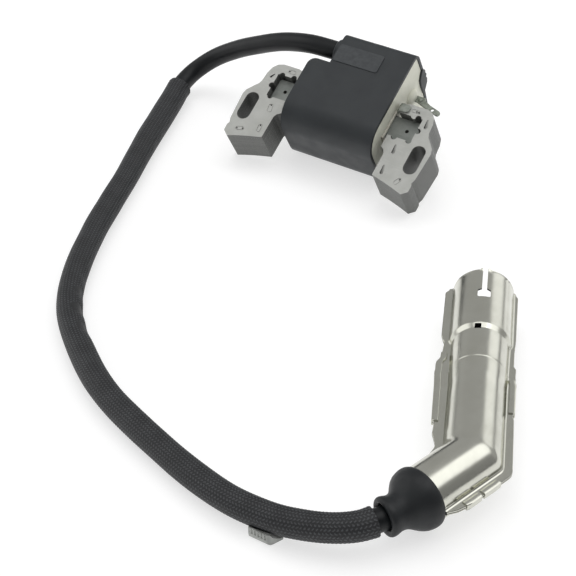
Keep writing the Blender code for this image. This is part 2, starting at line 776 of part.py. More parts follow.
def shield_ring(centre, side, stretch, radius, left, right, half):
    """Closed section of one shield half: outer arc, two flanges and inner arc."""
    up = cap_normal() * half
    low = GAP / 2.0
    high = low + SHEET
    start = math.asin(high / radius)
    inner = radius - SHEET
    inner_start = math.asin(low / inner)
    flat = [(radius + left, low), (radius + left, high)]
    steps = 12
    for i in range(steps + 1):
        a = start + (math.pi - 2.0 * start) * i / steps
        flat.append((radius * math.cos(a), radius * math.sin(a)))
    flat += [(-radius - right, high), (-radius - right, low)]
    for i in range(steps, -1, -1):
        a = inner_start + (math.pi - 2.0 * inner_start) * i / steps
        flat.append((inner * math.cos(a), inner * math.sin(a)))
    return [centre + side * (x * stretch) + up * y for x, y in flat]


def build_shield():
    """Two pressed steel halves with flanges, clamped round the cap's body."""
    rows = elbow_stations(SHIELD_STATIONS, LOWER_ARM_STATIONS, (TUBE_RADIUS, 2.2, 2.9))
    for name, half in (("shield_upper", 1.0), ("shield_lower", -1.0)):
        rings = []
        for centre, side, stretch, (radius, left, right) in rows:
            rings.append(shield_ring(centre, side, stretch, radius, left, right, half))
        shell = loft(name, rings, "shield_steel")
        if half > 0:
            upper = shell
    cut(upper, keyhole_cutter(), latch_cutter())


def cap_plate(name, outline, low, high):
    """Cutter over the mouth arm: outline (across, distance from the elbow)."""
    normal = cap_normal()
    side = normal.cross(ARM_OUT).normalized()
    bm = bmesh.new()
    ends = []
    for level in (low, high):
        ends.append([bm.verts.new(ELBOW + ARM_OUT * s + side * x + normal * level) for x, s in outline])
    bm.faces.new(ends[0])
    bm.faces.new(ends[1])
    for i in range(len(outline)):
        j = (i + 1) % len(outline)
        bm.faces.new((ends[0][i], ends[0][j], ends[1][j], ends[1][i]))
    return finish_mesh(name, bm)


def keyhole_cutter():
    """Slot from the mouth with a wider foot, which lets the mouth spring open."""
    half = KEYHOLE_WIDTH / 2.0
    foot, depth = KEYHOLE_FOOT
    end = MOUTH_AT - KEYHOLE_LENGTH
    outline = (
        (-half, MOUTH_AT + 2.0), (half, MOUTH_AT + 2.0), (half, end + depth), (foot / 2.0, end + depth),
        (foot / 2.0, end), (-foot / 2.0, end), (-foot / 2.0, end + depth), (-half, end + depth),
    )
    return cap_plate("keyhole_cut", outline, 6.0, 13.0)


def latch_cutter():
    """Small square hole in the band below the mouth section."""
    low = LATCH_ACROSS - LATCH_HOLE / 2.0
    high = LATCH_ACROSS + LATCH_HOLE / 2.0
    outline = ((low, 48.6), (high, 48.6), (high, 50.3), (low, 50.3))
    return cap_plate("latch_cut", outline, 6.0, 13.0)


def build_insulator():
    """Moulded elbow that carries the resistor, spring and terminal inside the shield."""
    outer = ((INSULATOR_TOP, INSULATOR_RADIUS), (7.0, INSULATOR_RADIUS))
    inner = ((7.0, INSULATOR_RADIUS), (INSULATOR_LOW, INSULATOR_RADIUS))
    rings = []
    for centre, side, stretch, (radius,) in elbow_stations(outer, inner, (INSULATOR_RADIUS,)):
        ring = []
        for i in range(28):
            a = 2.0 * math.pi * i / 28
            ring.append(centre + side * (radius * stretch * math.cos(a)) + cap_normal() * (radius * math.sin(a)))
        rings.append(ring)
    body = loft("cap_insulator", rings, "insulator_black")
    bore = turned(
        "insulator_bore_cut",
        ((15.0, 3.0), (42.0, 3.0), (42.1, 4.3), (53.5, 4.3), (53.6, 5.4), (INSULATOR_TOP + 2.0, 5.4)),
        ELBOW, ARM_OUT,
    )
    cut(body, bore)


def build_cap_contacts():
    """Resistor, spring and terminal cup in the cap's bore, and the screw into the lead's end."""
    low, high, radius = RESISTOR
    turned(
        "suppressor_resistor",
        ((low, radius - 0.4), (low + 0.4, radius), (high - 0.4, radius), (high, radius - 0.4)),
        ELBOW, ARM_OUT, "white_plastic", 20,
    )
    base, top = TERMINAL
    cup = ((base + 0.8, 3.3), (top, 3.3), (top, 3.9), (base, 3.9), (base, 1.0), (base + 0.8, 1.0))
    turned("plug_terminal_clip", cup, ELBOW, ARM_OUT, "tinned_brass", 24, hollow=True)
    thread = [(9.9, 0.4), (10.3, 1.1)]
    for i in range(3):
        s = 10.8 + 1.4 * i
        thread += [(s, 0.8), (s + 0.7, 1.3)]
    thread += [(15.0, 0.9), (15.1, 2.2), (16.1, 2.2)]
    profile = [(-s, r) for s, r in thread]
    turned("core_screw", profile, COLLAR_END, LEAD_AXIS, "tinned_brass", 16)
    build_spring()


def build_spring():
    """Coil spring between the resistor and the terminal cup."""
    side, up = square_to(ARM_OUT)
    low, high = SPRING_SPAN
    steps = SPRING_TURNS * 12
    centres = []
    for i in range(steps + 1):
        turn = 2.0 * math.pi * i / 12
        s = low + SPRING_WIRE + (high - low - 2.0 * SPRING_WIRE) * i / steps
        centres.append(ELBOW + ARM_OUT * s + (side * math.cos(turn) + up * math.sin(turn)) * SPRING_RADIUS)
    rings = []
    for i, centre in enumerate(centres):
        outward = centre - ELBOW
        outward = (outward - ARM_OUT * outward.dot(ARM_OUT)).normalized()
        ring = []
        for k in range(6):
            a = 2.0 * math.pi * k / 6
            ring.append(centre + (outward * math.cos(a) + ARM_OUT * math.sin(a)) * SPRING_WIRE)
        rings.append(ring)
    loft("contact_spring", rings, "strip_steel")


def build_boot():
    """Rubber boot from the shield's lower rim to the lead."""
    start = ELBOW + ARM_IN * BOOT_INNER_END
    straight = 7.0
    knee = start + ARM_IN * straight
    length = BOOT_PROFILE[-1][0]
    bend = length - straight
    handle = knee + ARM_IN * (bend * 0.5)
    rings = []
    normal = cap_normal()
    for s, radius in BOOT_PROFILE:
        if s <= straight:
            centre = start + ARM_IN * s
            tangent = ARM_IN
        else:
            t = (s - straight) / bend
            centre = knee * (1 - t) ** 2 + handle * (2 * t * (1 - t)) + COLLAR_END * t ** 2
            tangent = ((handle - knee) * (1 - t) + (COLLAR_END - handle) * t).normalized()
        side = normal.cross(tangent).normalized()
        rings.append(ring_points(centre, side, tangent.cross(side), radius, 28))
    boot = loft("boot_grommet", rings, "boot_rubber")
    bore = turned(
        "boot_bore_cut", ((-3.0, BOOT_BORE), (11.0, BOOT_BORE), (11.1, 2.8), (24.0, 2.8)),
        COLLAR_END, -LEAD_AXIS, count=28,
    )
    cut(boot, bore)


def gather_cap():
    """Parent the cap's pieces to an empty on the axis that the cap turns about."""
    pivot = bpy.data.objects.new("cap_swivel_axis", None)
    pivot.location = COLLAR_END * MM
    bpy.context.collection.objects.link(pivot)
    names = (
        "shield_upper", "shield_lower", "cap_insulator", "suppressor_resistor", "core_screw",
        "contact_spring", "plug_terminal_clip", "boot_grommet",
    )
    bpy.context.view_layer.update()
    for name in names:
        piece = bpy.data.objects[name]
        piece.parent = pivot
        piece.matrix_parent_inverse = pivot.matrix_world.inverted()


def main():
    clear_scene()
    build_leg("core_leg_left", -1)
    build_leg("core_leg_right", 1)
    build_bar()
    build_housing()
    build_potting()
    build_windings()
    build_strap()
    build_kill_terminal()
    build_trigger()
    build_lead()
    build_clip()
    build_shield()
    build_insulator()
    build_cap_contacts()
    build_boot()
    gather_cap()


main()
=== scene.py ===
"""Looks of the ignition coil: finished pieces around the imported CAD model, floor, light, camera."""

import math
import random

import bmesh
import bpy
from mathutils import Matrix, Vector
from mathutils import noise


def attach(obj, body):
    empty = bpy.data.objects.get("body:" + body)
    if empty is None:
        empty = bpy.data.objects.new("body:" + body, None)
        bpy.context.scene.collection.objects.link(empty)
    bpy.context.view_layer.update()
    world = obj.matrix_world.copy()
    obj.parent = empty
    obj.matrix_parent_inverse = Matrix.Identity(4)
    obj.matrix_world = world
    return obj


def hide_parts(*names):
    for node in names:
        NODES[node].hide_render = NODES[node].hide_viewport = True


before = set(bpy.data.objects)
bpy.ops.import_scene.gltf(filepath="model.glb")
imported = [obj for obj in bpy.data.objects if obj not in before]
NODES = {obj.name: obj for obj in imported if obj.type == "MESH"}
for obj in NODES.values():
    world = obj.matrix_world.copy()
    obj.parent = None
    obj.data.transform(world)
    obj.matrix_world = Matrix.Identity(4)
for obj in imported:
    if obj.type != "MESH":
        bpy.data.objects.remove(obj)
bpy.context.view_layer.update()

MM = 0.001
COIL_BODY = "coil_and_lead"
CAP_BODY = "plug_cap"

# ---------------- camera, floor and light

CAMERA_AT = Vector((239.3, -423.61, 317.1)) * MM
CAMERA_LOOK = Vector((22.57, -77.42, 0.0)) * MM
CAMERA_LENS = 98.25
FLOOR_TONE = 0.45
FLOOR_GLOW = 0.62
FLOOR_HALF = 3000.0
FLOOR_BELOW = 0.2


def build_camera():
    data = bpy.data.cameras.new("camera")
    data.lens = CAMERA_LENS
    data.clip_start = 0.01
    camera = bpy.data.objects.new("camera", data)
    camera.location = CAMERA_AT
    camera.rotation_euler = (CAMERA_LOOK - CAMERA_AT).to_track_quat("-Z", "Y").to_euler()
    bpy.context.collection.objects.link(camera)
    bpy.context.scene.camera = camera


def area_light(name, at, size, watts):
    data = bpy.data.lights.new(name, "AREA")
    data.size = size
    data.energy = watts
    light = bpy.data.objects.new(name, data)
    light.location = at
    light.rotation_euler = (Vector(LIGHTS_LOOK) - Vector(at)).to_track_quat("-Z", "Y").to_euler()
    light.visible_glossy = False
    bpy.context.collection.objects.link(light)


# Studio surroundings: (height, brightness), then soft boxes as (direction, cosine at edge and core, gain).
SKY_LEVELS = (
    (0.0, 0.9), (0.49, 0.9), (0.505, 0.22), (0.53, 0.26),
    (0.56, 0.45), (0.80, 0.43), (0.93, 0.46), (0.965, 1.45),
)
SOFT_BOXES = (
    ((0.40, 0.47, 0.79), 0.905, 0.96, 1.15),
    ((0.14, 0.93, 0.34), 0.95, 0.985, 0.8),
    ((-0.85, -0.2, 0.42), 0.86, 0.95, 1.0),
    ((0.9, -0.35, 0.15), 0.45, 0.85, -0.2),
)
LIGHTS = (("key", (-0.30, 0.25, 0.85), 0.6, 1.7), ("fill", (0.55, -0.55, 0.65), 0.5, 0.4))
LIGHTS_LOOK = (0.03, -0.06, 0.0)


def add_node(tree, kind, values=(), **settings):
    """Node with its settings; each value is a plain one or another node's output."""
    made = tree.nodes.new(kind)
    for key, value in settings.items():
        setattr(made, key, value)
    for key, value in values:
        if hasattr(value, "is_output"):
            tree.links.new(value, made.inputs[key])
        else:
            made.inputs[key].default_value = value
    return made


def build_world():
    world = bpy.data.worlds.new("studio")
    world.use_nodes = True
    tree = world.node_tree
    background = tree.nodes["Background"]
    background.inputs["Color"].default_value = (1.0, 1.0, 1.0, 1.0)
    where = add_node(tree, "ShaderNodeTexCoord").outputs["Generated"]
    split = add_node(tree, "ShaderNodeSeparateXYZ", ((0, where),))
    height = add_node(tree, "ShaderNodeMapRange", (("Value", split.outputs["Z"]), ("From Min", -1.0)))
    ramp = add_node(tree, "ShaderNodeValToRGB", ((0, height.outputs[0]),))
    band = ramp.color_ramp
    top = max(level for _, level in SKY_LEVELS)
    while len(band.elements) < len(SKY_LEVELS):
        band.elements.new(0.5)
    for stop, (place, level) in zip(band.elements, SKY_LEVELS):
        stop.position = place
        stop.color = (level / top, level / top, level / top, 1.0)
    scaled = add_node(tree, "ShaderNodeMath", ((0, ramp.outputs[0]), (1, top)), operation="MULTIPLY")
    total = scaled.outputs[0]
    for direction, edge, core, gain in SOFT_BOXES:
        facing = Vector(direction).normalized()
        dot = add_node(tree, "ShaderNodeVectorMath", ((0, where), (1, facing)), operation="DOT_PRODUCT")
        glow = add_node(
            tree, "ShaderNodeMapRange",
            (("Value", dot.outputs["Value"]), ("From Min", edge), ("From Max", core), ("To Max", gain)),
            interpolation_type="SMOOTHSTEP",
        )
        total = add_node(tree, "ShaderNodeMath", ((0, total), (1, glow.outputs[0]))).outputs[0]
    tree.links.new(total, background.inputs["Strength"])
    bpy.context.scene.world = world
    bpy.context.scene.view_settings.view_transform = "Standard"


def build_floor():
    look = Look("floor", (FLOOR_TONE, FLOOR_TONE, FLOOR_TONE), 0.9, specular=0.2)
    look.shader.inputs["Emission Color"].default_value = (1.0, 1.0, 1.0, 1.0)
    look.shader.inputs["Emission Strength"].default_value = FLOOR_GLOW
    bm = bmesh.new()
    bmesh.ops.create_grid(bm, x_segments=2, y_segments=2, size=FLOOR_HALF)
    floor = finish_mesh("floor", bm, look)
    floor.location.z = -FLOOR_BELOW * MM
    for light in LIGHTS:
        area_light(*light)


# ---------------- materials

# Turns in radians that Blender's wave texture makes in one metre at a scale of 1.
WAVE_TURNS = 20.0


class Look:
    """A Principled material, with short calls that add its nodes."""

    def __init__(self, name, colour, roughness, metallic=0.0, specular=0.5):
        self.made = bpy.data.materials.new(name)
        self.made.use_nodes = True
        self.tree = self.made.node_tree
        self.shader = self.tree.nodes["Principled BSDF"]
        self.shader.inputs["Base Color"].default_value = (*colour, 1.0)
        self.shader.inputs["Roughness"].default_value = roughness
        self.shader.inputs["Metallic"].default_value = metallic
        self.shader.inputs["Specular IOR Level"].default_value = specular
        self.relief = None

    def node(self, kind, values=(), **settings):
        return add_node(self.tree, kind, values, **settings)

    def where(self, stretch=(1.0, 1.0, 1.0), turn=0.0):
        coords = self.node("ShaderNodeTexCoord").outputs["Object"]
        values = (("Vector", coords), ("Scale", stretch), ("Rotation", (0.0, 0.0, turn)))
        return self.node("ShaderNodeMapping", values).outputs[0]

    def noise(self, size, stretch=(1.0, 1.0, 1.0), detail=3.0, turn=0.0):
        """Noise whose blobs are about size millimetres across, drawn out where stretch is small."""
        values = (("Vector", self.where(stretch, turn)), ("Scale", 1.0 / (size * MM)), ("Detail", detail))
        return self.node("ShaderNodeTexNoise", values).outputs["Fac"]

    def ramp(self, value, low, high, a=0.0, b=1.0):
        """Level from a to b while the value goes from low to high."""
        values = (("Value", value), ("From Min", low), ("From Max", high), ("To Min", a), ("To Max", b))
        return self.node("ShaderNodeMapRange", values).outputs[0]

    def mix(self, factor, a, b):
        made = self.node("ShaderNodeMix", (("Factor", factor),), data_type="RGBA")
        for socket, colour in (("A", a), ("B", b)):
            slot = [s for s in made.inputs if s.name == socket and s.type == "RGBA"][0]
            if hasattr(colour, "is_output"):
                self.tree.links.new(colour, slot)
            else:
                slot.default_value = (*colour, 1.0)
        return [s for s in made.outputs if s.type == "RGBA"][0]

    def math(self, operation, a, b):
        return self.node("ShaderNodeMath", ((0, a), (1, b)), operation=operation).outputs[0]

    def bands(self, pitch):
        """Bands along x, a pitch in millimetres apart."""
        scale = 2.0 * math.pi / (WAVE_TURNS * pitch * MM)
        values = (("Vector", self.where()), ("Scale", scale), ("Detail", 1.0))
        return self.node("ShaderNodeTexWave", values, bands_direction="X").outputs["Fac"]

    def colour(self, value):
        self.tree.links.new(value, self.shader.inputs["Base Color"])

    def rough(self, value):
        self.tree.links.new(value, self.shader.inputs["Roughness"])

    def bump(self, height, strength, depth):
        """Bump of a depth in millimetres."""
        values = [("Height", height), ("Strength", strength), ("Distance", depth * MM)]
        if self.relief is not None:
            values.append(("Normal", self.relief))
        self.relief = self.node("ShaderNodeBump", values).outputs[0]
        self.tree.links.new(self.relief, self.shader.inputs["Normal"])


def speckled(name, light, dark, roughness, metallic=0.0, size=3.0, grain=0.25, depth=0.02, specular=0.5):
    """Even surface with slow colour changes, a fine grain and uneven gloss."""
    look = Look(name, light, roughness, metallic, specular)
    slow = look.noise(size, detail=5.0)
    look.colour(look.mix(look.ramp(slow, 0.35, 0.65), dark, light))
    gloss = look.noise(size * 0.6, detail=4.0)
    look.rough(look.ramp(gloss, 0.3, 0.7, roughness * 0.85, roughness * 1.15))
    look.bump(look.noise(grain, detail=2.0), 0.5, depth)
    return look


def lamination_look(name, light, dark, roughness):
    """Sheet steel stampings: soft blotches, faint scratches, slightly brighter high spots."""
    look = Look(name, light, roughness, 0.25, 0.4)
    blotch = look.noise(5.0, detail=6.0)
    base = look.mix(look.ramp(blotch, 0.35, 0.7), dark, light)
    scratch = look.noise(0.5, stretch=(0.06, 1.0, 1.0), turn=0.5, detail=2.0)
    bright = tuple(c * 1.25 for c in light)
    look.colour(look.mix(look.ramp(scratch, 0.62, 0.74, 0.0, 0.35), base, bright))
    look.rough(look.ramp(look.noise(1.5, detail=4.0), 0.3, 0.7, roughness - 0.08, roughness + 0.1))
    look.bump(look.noise(0.35, detail=3.0), 0.4, 0.02)
    return look


def rolled_edge_look():
    """Stamped edges of the stack: each sheet a slightly different tone, drawn vertically by the die."""
    look = Look("lamination_edges", (0.2, 0.2, 0.19), 0.5, 0.3, 0.4)
    layers = look.noise(0.5, stretch=(0.02, 0.02, 1.0), detail=1.0)
    drawn = look.noise(0.7, stretch=(1.0, 1.0, 0.1), detail=3.0)
    dark, light, bright = (0.135, 0.138, 0.132), (0.16, 0.163, 0.156), (0.18, 0.183, 0.175)
    base = look.mix(look.ramp(layers, 0.35, 0.65), dark, light)
    look.colour(look.mix(look.ramp(drawn, 0.4, 0.75, 0.0, 0.5), base, bright))
    look.bump(layers, 0.3, 0.02)
    look.bump(drawn, 0.3, 0.02)
    return look


def shield_look():
    """Nickel-plated pressed steel: near mirror with soft drawing marks and a few handling smudges."""
    look = Look("plated_steel", (0.60, 0.60, 0.535), 0.2, 1.0)
    drawn = look.noise(0.8, stretch=(1.0, 0.03, 1.0), turn=-0.42, detail=3.0)
    smudge = look.noise(9.0, detail=5.0)
    clean, dull = (0.62, 0.62, 0.555), (0.565, 0.565, 0.50)
    look.colour(look.mix(look.ramp(smudge, 0.4, 0.7), clean, dull))
    wear = look.math("ADD", look.math("MULTIPLY", drawn, 0.5), smudge)
    look.rough(look.ramp(wear, 0.5, 1.0, 0.14, 0.27))
    look.bump(drawn, 0.25, 0.01)
    look.bump(look.noise(14.0, detail=1.0), 0.6, 0.25)
    return look


def braid_look(name, dark, light):
    """Woven polyester yarn: fine fibres along each yarn, dull."""
    look = Look(name, light, 0.55, 0.0, 0.5)
    fibre = look.noise(0.16, detail=3.0)
    patch = look.noise(11.0, detail=4.0)
    yarn = look.mix(look.ramp(fibre, 0.35, 0.7), dark, light)
    faded = tuple(c * 1.2 for c in light)
    look.colour(look.mix(look.ramp(patch, 0.35, 0.75, 0.0, 0.4), yarn, faded))
    look.bump(fibre, 0.8, 0.08)
    return look


def winding_look():
    """Enamelled copper, wound turn by turn, with painted shade in the grooves between turns and a painted
    highlight along each turn.
    """
    look = Look("winding", (0.5, 0.2, 0.08), 0.3, 0.85)
    turns = look.bands(0.35)
    # Colour dark where the turns' bump is low and light where it is high: painted shade and painted
    # highlight.
    look.colour(look.mix(turns, (0.25, 0.09, 0.035), (0.62, 0.26, 0.11)))
    look.bump(turns, 0.9, 0.12)
    return look


def board_look():
    """Green lacquer with slightly raised tracks."""
    look = Look("board", (0.03, 0.16, 0.07), 0.35)
    tracks = look.node(
        "ShaderNodeTexBrick",
        (("Vector", look.where()), ("Scale", 350.0), ("Mortar Size", 0.12), ("Color1", (1, 1, 1, 1)),
         ("Color2", (0.9, 0.9, 0.9, 1)), ("Mortar", (0, 0, 0, 1))),
    ).outputs["Fac"]
    look.colour(look.mix(tracks, (0.02, 0.12, 0.05), (0.06, 0.26, 0.11)))
    look.bump(tracks, 0.4, 0.05)
    return look


# Speckled finishes: light tone, dark tone, roughness, and what isn't as usual.
FINISHES = {
    "housing": ((0.0185, 0.0225, 0.0255), (0.014, 0.0175, 0.0205), 0.45, dict(size=9.0, grain=0.3)),
    "label": ((0.046, 0.051, 0.055), (0.034, 0.038, 0.042), 0.55, dict(size=1.6, grain=0.3)),
    "potting": ((0.80, 0.80, 0.69), (0.73, 0.735, 0.63), 0.5, dict(size=4.5, grain=0.6, depth=0.05)),
    "bobbin": ((0.66, 0.65, 0.57), (0.60, 0.58, 0.50), 0.45, {}),
    "component": ((0.025, 0.025, 0.026), (0.018, 0.018, 0.019), 0.45, dict(size=1.0)),
    "ceramic": ((0.55, 0.47, 0.34), (0.45, 0.37, 0.26), 0.4, dict(size=0.8)),
    "brass": ((0.62, 0.58, 0.46), (0.52, 0.48, 0.37), 0.28, dict(metallic=1.0, size=1.5)),
    "strap": ((0.33, 0.35, 0.315), (0.23, 0.25, 0.22), 0.5, dict(metallic=0.3, size=1.5)),
    "blade": ((0.30, 0.325, 0.28), (0.20, 0.215, 0.185), 0.38, dict(metallic=0.6, size=1.2)),
    "strip": ((0.56, 0.57, 0.52), (0.42, 0.43, 0.39), 0.33, dict(metallic=0.9, size=1.6)),
    "lead": (
        (0.0045, 0.006, 0.0072), (0.0035, 0.0045, 0.0055), 0.42,
        dict(size=14.0, grain=0.6, depth=0.015, specular=0.3),
    ),
    "strand": ((0.55, 0.27, 0.13), (0.40, 0.18, 0.08), 0.35, dict(metallic=0.9, size=0.4)),
    "clip": ((0.40, 0.41, 0.39), (0.30, 0.31, 0.295), 0.45, dict(size=2.5)),
    "boot": (
        (0.0075, 0.0095, 0.011), (0.005, 0.0065, 0.008), 0.5,
        dict(size=5.0, grain=0.4, depth=0.03, specular=0.4),
    ),
    "shield_inside": ((0.20, 0.205, 0.19), (0.14, 0.145, 0.13), 0.5, dict(metallic=0.6, grain=0.5)),
    "insulator": ((0.022, 0.022, 0.024), (0.014, 0.014, 0.015), 0.35, dict(size=2.0)),
}


def build_looks():
    looks = {key: speckled(key, *values, **others) for key, (*values, others) in FINISHES.items()}
    looks["legs"] = lamination_look("lamination_faces", (0.47, 0.475, 0.45), (0.42, 0.425, 0.40), 0.5)
    looks["bar"] = lamination_look("bar_faces", (0.27, 0.285, 0.265), (0.20, 0.215, 0.20), 0.5)
    looks["edges"] = rolled_edge_look()
    looks["winding"] = winding_look()
    looks["board"] = board_look()
    looks["braid"] = braid_look("woven_yarn", (0.0045, 0.0048, 0.0058), (0.013, 0.0138, 0.0155))
    # Second yarn look, several times lighter than the first: painted highlight on the yarn crowns.
    looks["braid_crown"] = braid_look("woven_yarn_painted_highlights", (0.024, 0.026, 0.029), (0.066, 0.070, 0.075))
    looks["shield"] = shield_look()
    return looks


# ---------------- shape tools

COIL_TILT = math.radians(29.137)
COIL_Y = -10.597
COIL_Z = 12.87
COIL_FRAME = Matrix.Translation((0.0, COIL_Y * MM, COIL_Z * MM)) @ Matrix.Rotation(COIL_TILT, 4, "X")
SHARP_ANGLE = 32.0


def finish_mesh(name, bm, look=None, frame_of=None, sharp=None):
    """Object of a bmesh built in millimetres."""
    bmesh.ops.scale(bm, vec=(MM, MM, MM), verts=bm.verts)
    bmesh.ops.recalc_face_normals(bm, faces=bm.faces)
    for face in bm.faces:
        face.smooth = True
    mesh = bpy.data.meshes.new(name)
    bm.to_mesh(mesh)
    bm.free()
    if sharp is not None:
        mesh.set_sharp_from_angle(angle=math.radians(sharp))
    obj = bpy.data.objects.new(name, mesh)
    bpy.context.collection.objects.link(obj)
    if look is not None:
        mesh.materials.append(look.made)
    if frame_of is not None:
        obj.matrix_world = frame_of
    return obj


def rounded(corners, steps=4):
    """Outline whose corners (x, y, radius) are replaced by arcs."""
    outline = []
    for index, (x, y, radius) in enumerate(corners):
        here = Vector((x, y))
        if radius <= 0.0:
            outline.append(here)
            continue
        before = (Vector(corners[index - 1][:2]) - here).normalized()
        after = (Vector(corners[(index + 1) % len(corners)][:2]) - here).normalized()
        half = before.angle(after) / 2.0
        centre = here + (before + after).normalized() * (radius / math.sin(half))
        start = here + before * (radius / math.tan(half)) - centre
        end = here + after * (radius / math.tan(half)) - centre
        angle = math.atan2(start.y, start.x)
        sweep = math.atan2(end.y, end.x) - angle
        sweep = (sweep + math.pi) % (2.0 * math.pi) - math.pi
        for step in range(steps + 1):
            turn = angle + sweep * step / steps
            outline.append(centre + Vector((math.cos(turn), math.sin(turn))) * radius)
    return outline


def circle(x, y, radius, count=24):
    angles = [2.0 * math.pi * i / count for i in range(count)]
    return [Vector((x + radius * math.cos(a), y + radius * math.sin(a))) for a in angles]


def box(x, y, width, height, radius=0.0, steps=4):
    """Outline of a rectangle round a point, its corners rounded."""
    w = width / 2.0
    h = height / 2.0
    places = ((x - w, y - h), (x + w, y - h), (x + w, y + h), (x - w, y + h))
    return rounded([(*place, radius) for place in places], steps)


def skin(bm, lower, upper):
    """Band of faces between two loops of vertices."""
    faces = []
    for i in range(len(lower)):
        j = (i + 1) % len(lower)
        faces.append(bm.faces.new((lower[i], lower[j], upper[j], upper[i])))
    return faces


def add_solid(bm, bottom, top):
    """Closed solid between two loops of points."""
    lower = [bm.verts.new(p) for p in bottom]
    upper = [bm.verts.new(p) for p in top]
    bm.faces.new(lower)
    bm.faces.new(upper)
    skin(bm, lower, upper)


def add_prism(bm, outline, low, high):
    """Add the solid of an outline in the xy plane, swept from low to high."""
    add_solid(bm, *([(p.x, p.y, level) for p in outline] for level in (low, high)))


def coil_prism(name, outlines, low, high, look=None, sharp=None):
    """One object of the solids of outlines in the coil's xy plane."""
    bm = bmesh.new()
    for outline in outlines:
        add_prism(bm, outline, low, high)
    return finish_mesh(name, bm, look, COIL_FRAME, sharp)


def loft(name, rings, look, frame_of=None, sharp=None):
    """Skin over rings of points, with flat caps."""
    bm = bmesh.new()
    rows = [[bm.verts.new(p) for p in ring] for ring in rings]
    for lower, upper in zip(rows, rows[1:]):
        skin(bm, lower, upper)
    bm.faces.new(rows[0])
    bm.faces.new(rows[-1])
    return finish_mesh(name, bm, look, frame_of, sharp)


def cut_with(target, cutter):
    """Cut one mesh with another and drop the cutter."""
    step = target.modifiers.new("cut", "BOOLEAN")
    step.operation = "DIFFERENCE"
    step.solver = "EXACT"
    step.object = cutter
    apply_modifiers(target)
    bpy.data.objects.remove(cutter, do_unlink=True)


def apply_modifiers(obj):
    bpy.context.view_layer.update()
    shaped = obj.evaluated_get(bpy.context.evaluated_depsgraph_get())
    mesh = bpy.data.meshes.new_from_object(shaped)
    obj.modifiers.clear()
    obj.data = mesh


def soften(obj, width, segments=2, angle=SHARP_ANGLE):
    """Round an object's sharp edges."""
    step = obj.modifiers.new("rounding", "BEVEL")
    step.width = width * MM
    step.segments = segments
    step.limit_method = "ANGLE"
    step.angle_limit = math.radians(angle)
    even = obj.modifiers.new("even_normals", "WEIGHTED_NORMAL")
    even.keep_sharp = True
    apply_modifiers(obj)
    return obj


def copy_of(node, name, look, width, segments=2, angle=SHARP_ANGLE, smooth_angle=35.0):
    """Piece with a CAD node's own shape, its flat faces whole and its edges rounded."""
    bm = bmesh.new()
    bm.from_mesh(NODES[node].data)
    bmesh.ops.remove_doubles(bm, verts=bm.verts, dist=2e-6)
    bmesh.ops.dissolve_limit(
        bm, angle_limit=math.radians(0.8), verts=bm.verts, edges=bm.edges, use_dissolve_boundaries=False
    )
    bmesh.ops.scale(bm, vec=(1.0 / MM, 1.0 / MM, 1.0 / MM), verts=bm.verts)
    obj = finish_mesh(name, bm, look, sharp=smooth_angle)
    soften(obj, width, segments, angle)
    return obj


def settle(obj, slot, *nodes, body=COIL_BODY):
    """Put a piece on its body and hide the CAD nodes it stands for; its slot is not used."""
    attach(obj, body)
    if nodes:
        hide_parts(*nodes)
    return obj


# ---------------- lead and sleeve

LEAD_RADIUS = 3.5
SLEEVE_RADII = (4.55, 4.2)
SLEEVE_NARROWS_Y = (-20.0, -60.0)
SLEEVE_WALL = 0.45
SLEEVE_YARNS = 26
SLEEVE_LAY = 1.05
SLEEVE_STEP = 0.27
SLEEVE_AROUND = 132
SLEEVE_STARTS_AT = 90.5
SLEEVE_SHORT_OF_BOOT = 1.8
SLEEVE_LINING_STEP = 20
YARN_RELIEF = 0.32
YARN_ROOT = -0.24
# Yarn height above which the sleeve's faces take the painted highlight look.
PAINTED_HIGHLIGHT_LEVEL = 0.82
# Uneven looseness of the sleeve, how slowly it changes along it, and the flare of its cut ends.
SLACK = 0.2
SLACK_ALONG = 0.07
SLACK_AROUND = 0.8
END_FLARE = 0.12
END_FLARE_LENGTH = 2.5
# Puckers where the sleeve is pushed together on the inside of the bend: place along it, depth, length.
PUCKERS = ((214.0, 0.35, 3.5), (223.0, 0.6, 3.2), (232.5, 0.85, 3.2), (243.0, 0.6, 4.0))
COLLAR_END = Vector((104.29, -159.62, 9.65))
LEAD_AXIS = Vector((-0.4993, -0.8649, -0.0523)).normalized()
LEAD_IN_BOOT = 8.0
LEAD_ROUTE = (
    (-4.0, 12.44, 35.21), (-10.0, 12.44, 35.21), (-16.0, 12.44, 35.21), (-24.0, 12.72, 34.70),
    (-36.0, 13.72, 31.60), (-48.5, 15.52, 25.80), (-60.0, 16.82, 19.60), (-70.0, 15.82, 13.20),
    (-75.7, 10.12, 8.20), (-76.3, 2.02, 5.90), (-73.7, -7.88, 4.90), (-69.8, -20.78, 4.70),
    (-65.6, -34.48, 4.60), (-56.8, -60.18, 4.50), (-47.2, -90.18, 4.40), (-37.1, -113.78, 4.40),
    (-26.3, -129.98, 4.40), (-9.4, -144.58, 4.40), (7.6, -154.88, 4.40), (25.5, -161.78, 4.40),
    (43.4, -167.68, 4.50), (55.0, -170.78, 4.80), (66.0, -172.38, 5.20), (78.3, -172.38, 6.00),
    (85.5, -171.28, 6.90), (91.8, -169.48, 7.80), (97.0, -167.18, 8.60), (100.4, -164.78, 9.10),
    (102.6, -162.28, 9.50),
)


